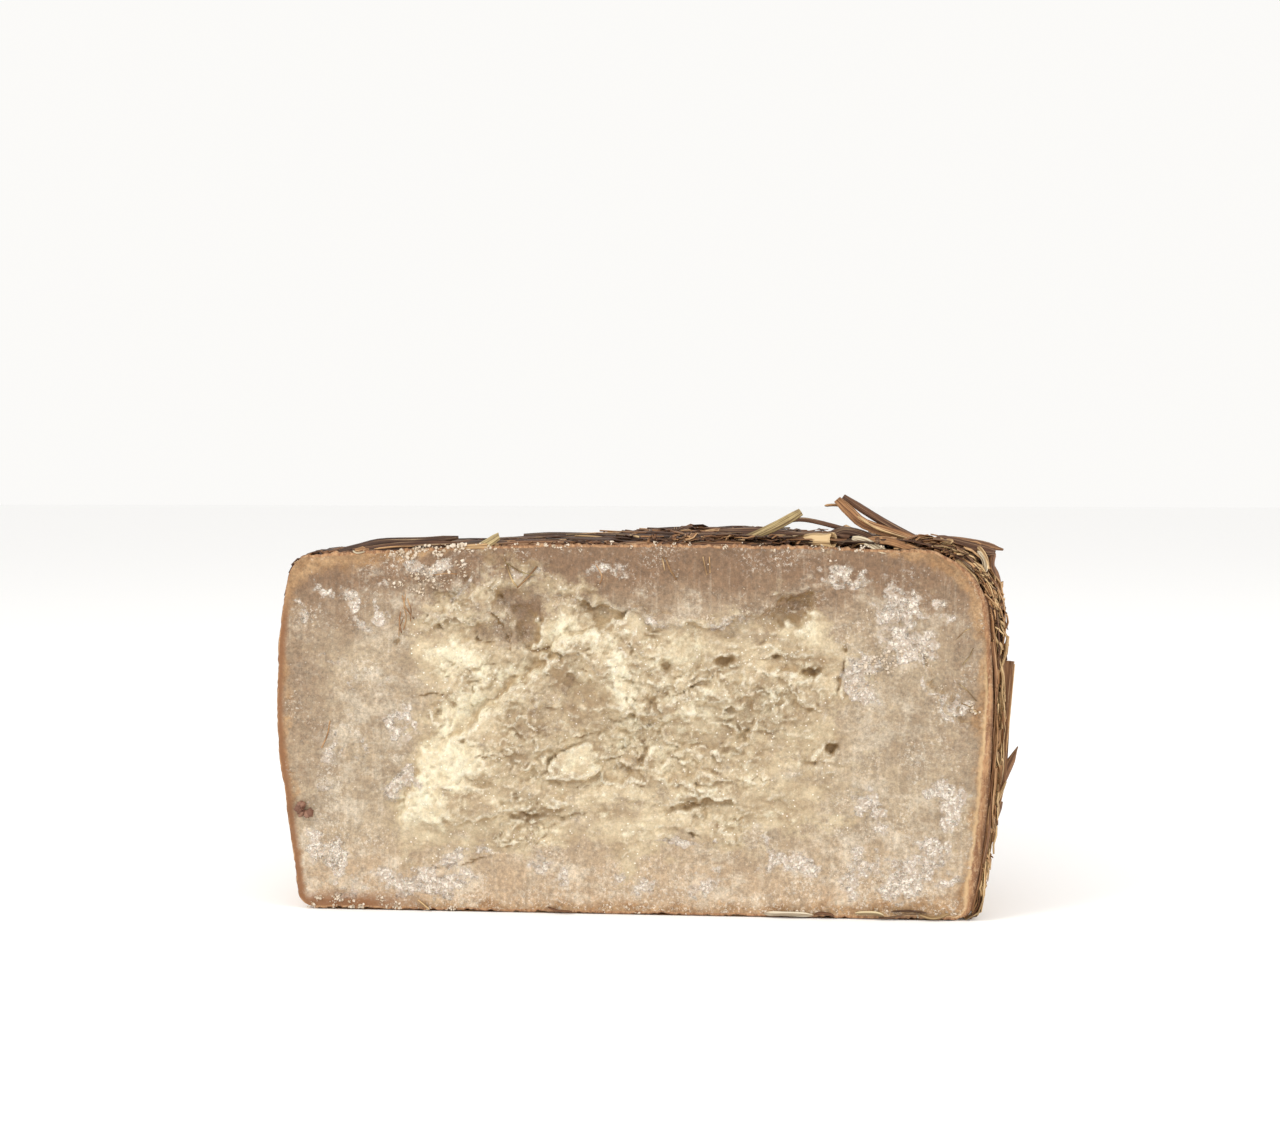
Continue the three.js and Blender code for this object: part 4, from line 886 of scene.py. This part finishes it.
# Heaps of white crust crumbs: from x and z to x and z, spread, number, smallest and largest.
CRUMB_LINES = (
    ((-94, 2.2), (-78, 1.2), 1.2, 90, 0.3, 1), ((-80, 1.2), (-56, 1.4), 1, 90, 0.3, 0.9),
    ((-56, 1.4), (30, 1.4), 1, 150, 0.2, 0.7), ((36, 1.6), (54, 1.6), 0.7, 50, 0.3, 0.9),
    ((54, 1.6), (92, 2.2), 1, 110, 0.2, 0.7), ((-70, 103.4), (-46, 105.4), 1.1, 240, 0.3, 1.2),
    ((-64, 96), (-50, 101), 2.8, 190, 0.25, 1), ((-44, 105.2), (10, 106.6), 0.7, 170, 0.2, 0.8),
    ((10, 106.6), (74, 105.4), 0.7, 170, 0.2, 0.8), ((-92, 18), (-88, 10), 1.6, 60, 0.2, 0.6),
    ((62, 66), (76, 76), 2.2, 170, 0.25, 1), ((60, 98), (68, 88), 3, 70, 0.2, 0.6),
    ((22, 84), (32, 86), 1, 60, 0.2, 0.7), ((96, 61), (97.6, 59), 0.8, 40, 0.3, 0.9),
    ((81, 77), (92, 58), 0.7, 60, 0.2, 0.6), ((-30, 24), (-24, 18), 1.6, 40, 0.3, 0.9),
    ((60, 34), (68, 8), 3.6, 120, 0.2, 0.7), ((46, 16), (84, 9), 2.6, 110, 0.2, 0.65),
    ((-60, 80), (40, 30), 22, 220, 0.2, 0.65),
)
SCAR = ((-97, 30.4), (-94, 26.8), 0.7, 60, 0.9, 2.4)
CLUMP, CLUMP_SPREAD, CRUMB_SPREAD = 9, 0.8, 0.45
OVER_THE_EDGE = 0.9


def rough_ball():
    """Corners and faces of a ball with two rings of five corners."""
    corners, faces = [(0, 0, -1)], []
    for low, shift in ((math.radians(-35), 0), (math.radians(20), 0.5)):
        for k in range(5):
            turn = 2 * math.pi * (k + shift) / 5
            corners.append((math.cos(low) * math.cos(turn), math.cos(low) * math.sin(turn), math.sin(low)))
    for k in range(5):
        a, b = 1 + k, 1 + (k + 1) % 5
        faces += [(0, b, a), (a, b, a + 5), (b, b + 5, a + 5), (a + 5, b + 5, 11)]
    return np.array(corners + [(0, 0, 1)]), np.array(faces)


def crumb_mesh(name, rng, lines, material, lift=0.2):
    """One piece of crumbs, each a ball with its corners moved, squashed and turned. lift is its depth in the face."""
    ball, faces = rough_ball()
    points, tones = [], []
    for (ax, az), (bx, bz), spread, count, small, large in lines:
        clumps = max(3, count // CLUMP)
        clump = rng.integers(clumps, size=count)
        along = rng.random(clumps)[clump]
        aside = CLUMP_SPREAD * rng.standard_normal((2, clumps))[:, clump]
        aside = spread * (aside + CRUMB_SPREAD * rng.standard_normal((2, count)))
        x, z = lerp(ax, bx, along) + aside[0], lerp(az, bz, along) + aside[1]
        size = small + (large - small) * rng.random(count) ** 2.5
        top = dome_height(np.abs(x), np.where(x > 0, RIGHT_EDGE_HEIGHT, LEFT_EDGE_HEIGHT)) + OVER_THE_EDGE
        z = np.minimum(np.maximum(z, np.maximum(0.25, size * 0.6 + 0.05)), top)
        height, _ = face_relief(x, z)
        for i in range(count):
            lump = ball * rng.uniform(0.65, 1.35, (12, 1)) * rng.uniform(0.6, 1.3, 3) * size[i] * 0.5
            wide, tall = turned(lump[:, 0], lump[:, 2], -rng.uniform(0, 2 * math.pi))
            points.append([x[i] + wide, lump[:, 1] - height[i] - lift * size[i], np.maximum(z[i] + tall, 0.02)])
            tones.append(np.full(12, rng.random()))
    faces = np.concatenate([faces + 12 * k for k in range(len(points))])
    mesh_object(name, np.swapaxes(points, 1, 2), faces, material, {"shade": tones})


def build_crumbs():
    rng = np.random.default_rng(19)
    crumb_mesh("crust_crumbs", rng, CRUMB_LINES, crumb_material("crumbs", (226, 212, 194), (184, 163, 136)))
    crumb_mesh("scar", rng, (SCAR,), crumb_material("scar", (150, 112, 92), (96, 60, 44)), 0.5)


# ---- Materials ----

def srgb(red, green, blue):
    """A colour given as it looks on a screen, 0 to 255, as the linear colour a shader takes."""
    def linear(c):
        c = c / 255
        return c / 12.92 if c <= 0.04045 else ((c + 0.055) / 1.055) ** 2.4
    return (linear(red), linear(green), linear(blue), 1.0)


class Value:
    """An output of a shader node, so that sums of outputs are written as plain sums."""

    def __init__(self, shader, socket):
        self.shader, self.socket = shader, socket

    def __add__(self, other):
        return self.shader.math("ADD", self, other)

    def __sub__(self, other):
        return self.shader.math("SUBTRACT", self, other)

    def __rsub__(self, other):
        return self.shader.math("SUBTRACT", other, self)

    def __mul__(self, other):
        return self.shader.math("MULTIPLY", self, other)

    def __truediv__(self, other):
        return self.shader.math("DIVIDE", self, other)

    def ramp(self, low, high):
        """0 at low and 1 at high, and straight in between."""
        return self.shader.node("MapRange", {"Value": self, "From Min": low, "From Max": high})


class Shader:
    """A short way to write a node material. paint() lays one colour after another over self.colour.

    Sizes are in millimetres, and colours as they look on a screen, from 0 to 255.
    """

    def __init__(self, name):
        self.material = bpy.data.materials.new(name)
        self.material.use_nodes = True
        self.tree = self.material.node_tree
        self.tree.nodes.clear()
        self.surface = self.tree.nodes.new("ShaderNodeBsdfPrincipled")
        output = self.tree.nodes.new("ShaderNodeOutputMaterial")
        self.tree.links.new(self.surface.outputs[0], output.inputs["Surface"])
        self.mm = self.vector("MULTIPLY", self.node("TexCoord", output="Object"), (1000, 1000, 1000))

    def join(self, value, socket):
        if isinstance(value, Value):
            self.tree.links.new(value.socket, socket)
        else:
            socket.default_value = value

    def node(self, kind, inputs=None, output=0, **settings):
        """Adds a node and gives one of its outputs."""
        node = self.tree.nodes.new("ShaderNode" + kind)
        for key, value in settings.items():
            setattr(node, key, value)
        for key, value in (inputs or {}).items():
            self.join(value, node.inputs[key])
        return Value(self, node.outputs[output])

    def math(self, operation, a, b, clamp=False):
        return self.node("Math", {0: a, 1: b}, operation=operation, use_clamp=clamp)

    def vector(self, operation, a, b):
        return self.node("VectorMath", {0: a, 1: b}, operation=operation)

    def attribute(self, name):
        return self.node("Attribute", output="Fac", attribute_name=name)

    def noise(self, size, detail=3, rough=0.55, stretch=(1, 1, 1), seed=0):
        """Noise near 0.5, with features of a size. Each seed reads another part of it."""
        moved = self.vector("ADD", self.mm, (seed * 37.7, seed * 11.3, seed * 23.9))
        at = self.vector("DIVIDE", moved, [size * s for s in stretch])
        return self.node("TexNoise", {"Vector": at, "Scale": 1, "Detail": detail, "Roughness": rough}, "Fac")

    def frayed(self, value, size, amount, seed):
        """The value pushed up and down by noise, so that a limit taken in it has a frayed edge."""
        return value + (self.noise(size, 6, 0.75, seed=seed) - 0.5) * amount

    def lumps(self, size, seed):
        """0 at the middle of each uneven, crumbly cell and near 1 in the seams between them."""
        moved = self.vector("ADD", self.mm, (seed * 31.7, seed * 13.3, seed * 7.9))
        push = self.node("TexNoise", {"Vector": self.vector("DIVIDE", moved, [size * 1.5] * 3), "Scale": 1}, "Color")
        push = self.vector("MULTIPLY", push, (1.6, 1.6, 1.6))
        at = self.vector("ADD", self.vector("DIVIDE", moved, [size] * 3), push)
        return self.node("TexVoronoi", {"Vector": at, "Scale": 1}, "Distance")

    def dots(self, size, radius):
        """1 in small round dots, about one to a cell."""
        at = self.vector("DIVIDE", self.mm, [size] * 3)
        return self.node("TexVoronoi", {"Vector": at, "Scale": 1}, "Distance").ramp(radius, radius * 0.5)

    def mix(self, share, a, b, blend="MIX"):
        """Mixes two colours, each an output or three numbers from 0 to 255."""
        a, b = (colour if isinstance(colour, Value) else srgb(*colour) for colour in (a, b))
        return self.node("Mix", {0: share, 6: a, 7: b}, 2, data_type="RGBA", blend_type=blend)

    def paint(self, share, colour, blend="MIX"):
        self.colour = self.mix(share, self.colour, colour, blend)

    def scale(self, factor):
        self.colour = self.node("VectorMath", {0: self.colour, "Scale": factor}, operation="SCALE")

    def bump(self, height, strength, distance_mm, before=None):
        inputs = {"Strength": strength, "Distance": distance_mm / 1000, "Height": height}
        return self.node("Bump", {**inputs, "Normal": before} if before else inputs)

    def finish(self, **sockets):
        self.join(self.colour, self.surface.inputs["Base Color"])
        for key, value in sockets.items():
            self.join(value, self.surface.inputs[key.replace("_", " ")])
        return self.material


def paste_material():
    m = Shader("paste")
    cream = m.frayed(m.attribute("cream"), 3, 1.3, 31)
    bloom = m.frayed(m.attribute("bloom"), 3.5, 1.1, 32)
    amber = m.attribute("amber")
    lumps = m.lumps(1.1, 2)
    x, z = (m.node("SeparateXYZ", {0: m.mm}, axis) for axis in "XZ")

    # The border: brownish above, partly browner paste and partly the painted shadow of the upper wedge, lighter
    # below, under a thin dry film with upright streaks.
    m.colour = m.mix(m.noise(16, 4, 0.6).ramp(0.38, 0.62), (158, 137, 111), (183, 163, 135))
    m.paint((z + m.noise(10, 4, 0.6, seed=2) * 20).ramp(88, 108), (136, 107, 80))
    m.paint((z + m.noise(12, 3, seed=3) * 16).ramp(34, 14), (184, 158, 128))
    film = m.noise(12, 8, 0.74, (1, 1, 0.7), seed=4) + bloom * 0.12 - m.attribute("shade") * 0.16
    streaks = m.noise(1.4, 4, 0.7, (1, 1, 10), seed=15).ramp(0.52, 0.66) * 0.35
    dust = m.mix(z.ramp(34, 14), (200, 185, 163), (214, 198, 175))
    m.paint(m.math("ADD", film.ramp(0.495, 0.61) * 0.74, streaks, clamp=True), dust)

    # The broken middle: cream, richest where the mask is highest, partly painted light where the cream spots follow
    # lit slopes, with painted shade in the hollows and painted highlights on the lips.
    broken = m.noise(6, 4, 0.62, (1.4, 1, 1), seed=5).ramp(0.36, 0.64)
    m.paint(cream.ramp(0.18, 0.44), m.mix(broken, (173, 150, 118), (212, 194, 161)))
    rich = m.noise(5, 4, 0.62, seed=6).ramp(0.36, 0.64)
    m.paint(cream.ramp(0.6, 0.88), m.mix(rich, (240, 232, 204), (216, 199, 165)))
    in_middle = cream.ramp(0.1, 0.5)
    # Painted shade from the shade mask, browner on the border and golden in the middle.
    shade = m.frayed(m.attribute("shade"), 3, 1.6, 33).ramp(0.12, 0.75)
    m.paint(shade * 0.74, m.mix(in_middle, (126, 97, 71), (140, 110, 72)))
    # Painted shade in recesses, where the relief lies below its wider and its nearer surroundings.
    m.paint(m.attribute("deep").ramp(-0.6, -3.4) * 0.4, (164, 132, 88))
    hollow = m.attribute("hollow")
    m.paint(hollow.ramp(-0.08, -0.5) * 0.42, (162, 130, 84))
    # Painted highlight on the raised lips in the middle.
    lip_highlight = hollow.ramp(0.06, 0.4) * in_middle * m.noise(1.8, 3, 0.7, seed=27).ramp(0.35, 0.6)
    m.paint(lip_highlight * 0.7, (243, 236, 215))

    # The amber band, pale speckles low on the border, cracks and holes darkened with painted shade over their own
    # brown, and a fine grain over all of it.
    m.paint(amber * 0.9, m.mix(m.noise(5, 6, 0.7, seed=17).ramp(0.38, 0.64), (148, 110, 70), (182, 147, 106)))
    low = (z + m.noise(6, 3, seed=18) * 10).ramp(15, 5)
    speckled = m.math("ADD", low, m.noise(11, 3, seed=9).ramp(0.48, 0.64), clamp=True) * cream.ramp(0.5, 0.2)
    m.paint(m.noise(0.9, 4, 0.8, seed=8).ramp(0.54, 0.59) * speckled * 0.5, (240, 231, 216))
    # Painted shade inside the cracks and holes, over their own golden brown.
    dark = m.frayed(m.attribute("dark"), 1.3, 0.7, 20).ramp(0.22, 0.55)
    m.paint(dark * 0.8, m.mix(m.noise(3, 2, seed=19), (150, 118, 70), (108, 81, 47)))
    fine = (m.noise(1.0, 3, 0.8, seed=21).ramp(0.3, 0.7) - 0.5) * 0.62
    coarse = (m.noise(4, 3, 0.8, seed=22).ramp(0.3, 0.7) - 0.5) * 0.26
    m.scale((fine + coarse) * (1 - in_middle * 0.45) + 0.92)

    # The white crust: patches, bright grains on the tops of its lumps, the crust's white with a painted highlight,
    # and painted shade in the creases between them.
    heavy = bloom.ramp(0.22, 0.42)
    crust = heavy * (m.noise(2.8, 7, 0.82, seed=7) + bloom * 0.14).ramp(0.49, 0.56)
    tops, grains = lumps.ramp(0.6, 0.36), m.noise(0.75, 3, 0.8, seed=24).ramp(0.42, 0.54)
    m.paint(heavy * 0.5, (160, 141, 122))
    m.paint(crust * 0.58, (210, 196, 182))
    m.paint(crust * ((tops * 0.7 + 0.3) * (grains * 0.8 + 0.2)).ramp(0.15, 0.6) * 0.9, (245, 234, 219))
    # Painted shade in the creases between the crust's lumps.
    m.paint(crust * lumps.ramp(0.62, 0.9) * 0.6, (156, 130, 104))

    # The rind in section: brown at the outline, rusty inside it on the left and golden on the right.
    edge = m.attribute("rim") + (m.noise(2.2, 4, seed=10) - 0.5) * 0.9
    m.paint(edge.ramp(7.5, 3.0) * x.ramp(-60, -80) * z.ramp(98, 82) * 0.92, (132, 86, 48))
    m.paint(edge.ramp(1.55, 1.2) * z.ramp(78, 62) * x.ramp(50, 80) * 0.6, (222, 188, 142))
    section = m.mix(m.noise(1.3, 4, 0.7, (1, 1, 4), seed=25).ramp(0.42, 0.6), (134, 92, 58), (182, 138, 96))
    section = m.mix(edge.ramp(0.45, 0.1) * 0.6, section, (92, 58, 36))
    section = m.mix(m.noise(0.9, 4, 0.8, seed=26).ramp(0.54, 0.6) * 0.45, section, (206, 174, 136))
    m.paint(edge.ramp(1.1, 0.85), section)

    # White dots: the paste's small crystals, near white as their own colour with a painted glint.
    dotted = m.noise(7, 4, 0.7, seed=12).ramp(0.44, 0.52) * m.math("ADD", cream.ramp(0.15, 0.4), 0.25, clamp=True)
    m.paint(m.dots(1.6, 0.17) * dotted * (1 - amber) * 0.9, (255, 250, 238))
    relief = m.bump(m.noise(0.6, 4, 0.8, seed=13), 0.5, 0.3)
    relief = m.bump(tops * crust, 0.8, 0.45, relief)
    relief = m.bump(m.noise(2.6, 5, 0.7, (1.5, 1.5, 1), seed=14), 0.4, 0.8, relief)
    return m.finish(Roughness=0.5, Normal=relief, Specular_IOR_Level=0.5, Subsurface_Weight=0.1,
                    Subsurface_Radius=(1.0, 0.62, 0.34), Subsurface_Scale=0.0015)


def crumb_material(name, light, dark):
    m = Shader(name)
    m.colour = m.mix(m.attribute("shade"), light, dark)
    m.scale(m.noise(0.5, 3, 0.7) * 0.5 + 0.75)
    return m.finish(Roughness=0.6, Specular_IOR_Level=0.4)


def rind_material():
    m = Shader("rind")
    m.colour = m.mix(m.noise(9, 5, 0.6).ramp(0.36, 0.64), (128, 88, 54), (176, 134, 90))
    m.paint(m.noise(1.3, 4, 0.7, (1, 1, 5), seed=2).ramp(0.5, 0.72), (84, 56, 34))
    m.paint(m.noise(22, 3, seed=3).ramp(0.5, 0.68), (196, 164, 124))
    relief = m.bump(m.noise(1.1, 4, 0.7, (1, 1, 4), seed=4), 0.6, 0.8)
    relief = m.bump(m.noise(6, 3, seed=5), 0.5, 1.6, relief)
    return m.finish(Roughness=0.72, Normal=relief, Specular_IOR_Level=0.3)


# Colours of the hay by tone.
HAY_TONES = {0.0: (56, 35, 22), 0.25: (102, 67, 43), 0.5: (156, 111, 71), 0.72: (192, 150, 104),
             0.88: (206, 175, 129), 0.94: (172, 151, 104), 0.97: (214, 196, 150), 1.0: (222, 214, 200)}


def hay_material():
    m = Shader("hay")
    shade, along, across = (m.attribute(name) for name in ("shade", "along", "across"))
    m.colour = m.node("ValToRGB", {0: shade})
    elements = m.colour.socket.node.color_ramp.elements
    elements[0].color, elements[1].color = srgb(*HAY_TONES[0.0]), srgb(*HAY_TONES[1.0])
    for position in sorted(HAY_TONES)[1:-1]:
        elements.new(position).color = srgb(*HAY_TONES[position])
    at = m.node("CombineXYZ", {0: across / 0.32, 1: along / 16, 2: shade * 91.7})
    lines = m.node("TexNoise", {"Vector": at, "Scale": 1, "Detail": 3}, "Fac")
    m.paint(lines.ramp(0.54, 0.4), (162, 149, 137), "MULTIPLY")
    m.paint(lines.ramp(0.56, 0.68) * 0.4, (214, 188, 148))
    m.paint(m.noise(5, 4, 0.65, seed=3).ramp(0.5, 0.68) * 0.45, (84, 56, 36))
    return m.finish(Roughness=0.55, Normal=m.bump(lines, 0.7, 0.25), Specular_IOR_Level=0.35)


# ---- Studio ----

CAMERA_TURN, CAMERA_FALL = 4.5, 3.73
CAMERA_AT = (44.08, -528.17, 132.5)
FOCAL_PIXELS, PHOTO_WIDTH = 1870, 1280
SENSOR_WIDTH = 36
FLOOR_HALF, FLOOR_DROP = 4.0, 0.0002


def add_object(name, data):
    item = bpy.data.objects.new(name, data)
    bpy.context.scene.collection.objects.link(item)
    return item


def area_light(name, location, target, size, power, colour):
    light = bpy.data.lights.new(name, "AREA")
    light.size, light.energy, light.color = size, power, colour
    lamp = add_object(name, light)
    lamp.location = location
    ahead = np.subtract(target, location)
    fall = math.atan2(-ahead[2], math.hypot(ahead[0], ahead[1]))
    lamp.rotation_euler = (math.pi / 2 - fall, 0, math.atan2(ahead[1], ahead[0]) - math.pi / 2)


def build_studio():
    mesh = bpy.data.meshes.new("floor")
    corners = [(FLOOR_HALF * x, FLOOR_HALF * y, 0) for x, y in ((-1, -1), (1, -1), (1, 1), (-1, 1))]
    mesh.from_pydata(corners, [], [(0, 1, 2, 3)])
    white = Shader("floor")
    white.colour = (0.96, 0.96, 0.96, 1)
    mesh.materials.append(white.finish(Roughness=0.9))
    floor = add_object("floor", mesh)
    floor.location = (0, 0, -FLOOR_DROP)

    world = bpy.data.worlds.new("world")
    world.use_nodes = True
    background = world.node_tree.nodes["Background"]
    background.inputs["Color"].default_value = (1.0, 0.99, 0.97, 1)
    background.inputs["Strength"].default_value = 0.97
    bpy.context.scene.world = world
    area_light("key", (-0.62, -0.52, 0.72), (0, -0.05, 0.05), 0.4, 4.7, (1, 0.97, 0.92))
    area_light("fill", (1.0, -0.35, 0.45), (0.05, 0, 0.05), 0.7, 6.0, (1, 0.98, 0.96))

    camera = bpy.data.cameras.new("camera")
    camera.sensor_width = SENSOR_WIDTH
    camera.lens = FOCAL_PIXELS * SENSOR_WIDTH / PHOTO_WIDTH
    eye = add_object("camera", camera)
    eye.location = place(CAMERA_AT)
    eye.rotation_euler = (math.radians(90 - CAMERA_FALL), 0, math.radians(CAMERA_TURN))
    bpy.context.scene.camera = eye
    bpy.context.scene.view_settings.view_transform = "Standard"


build_rind(rind_material(), build_face(paste_material()))
hay_draws, hay = np.random.default_rng(7), hay_material()
build_top_hay(hay_draws, hay)
build_side_hay(hay_draws, hay)
build_loose_hay(hay_draws, hay)
build_crumbs()
build_studio()
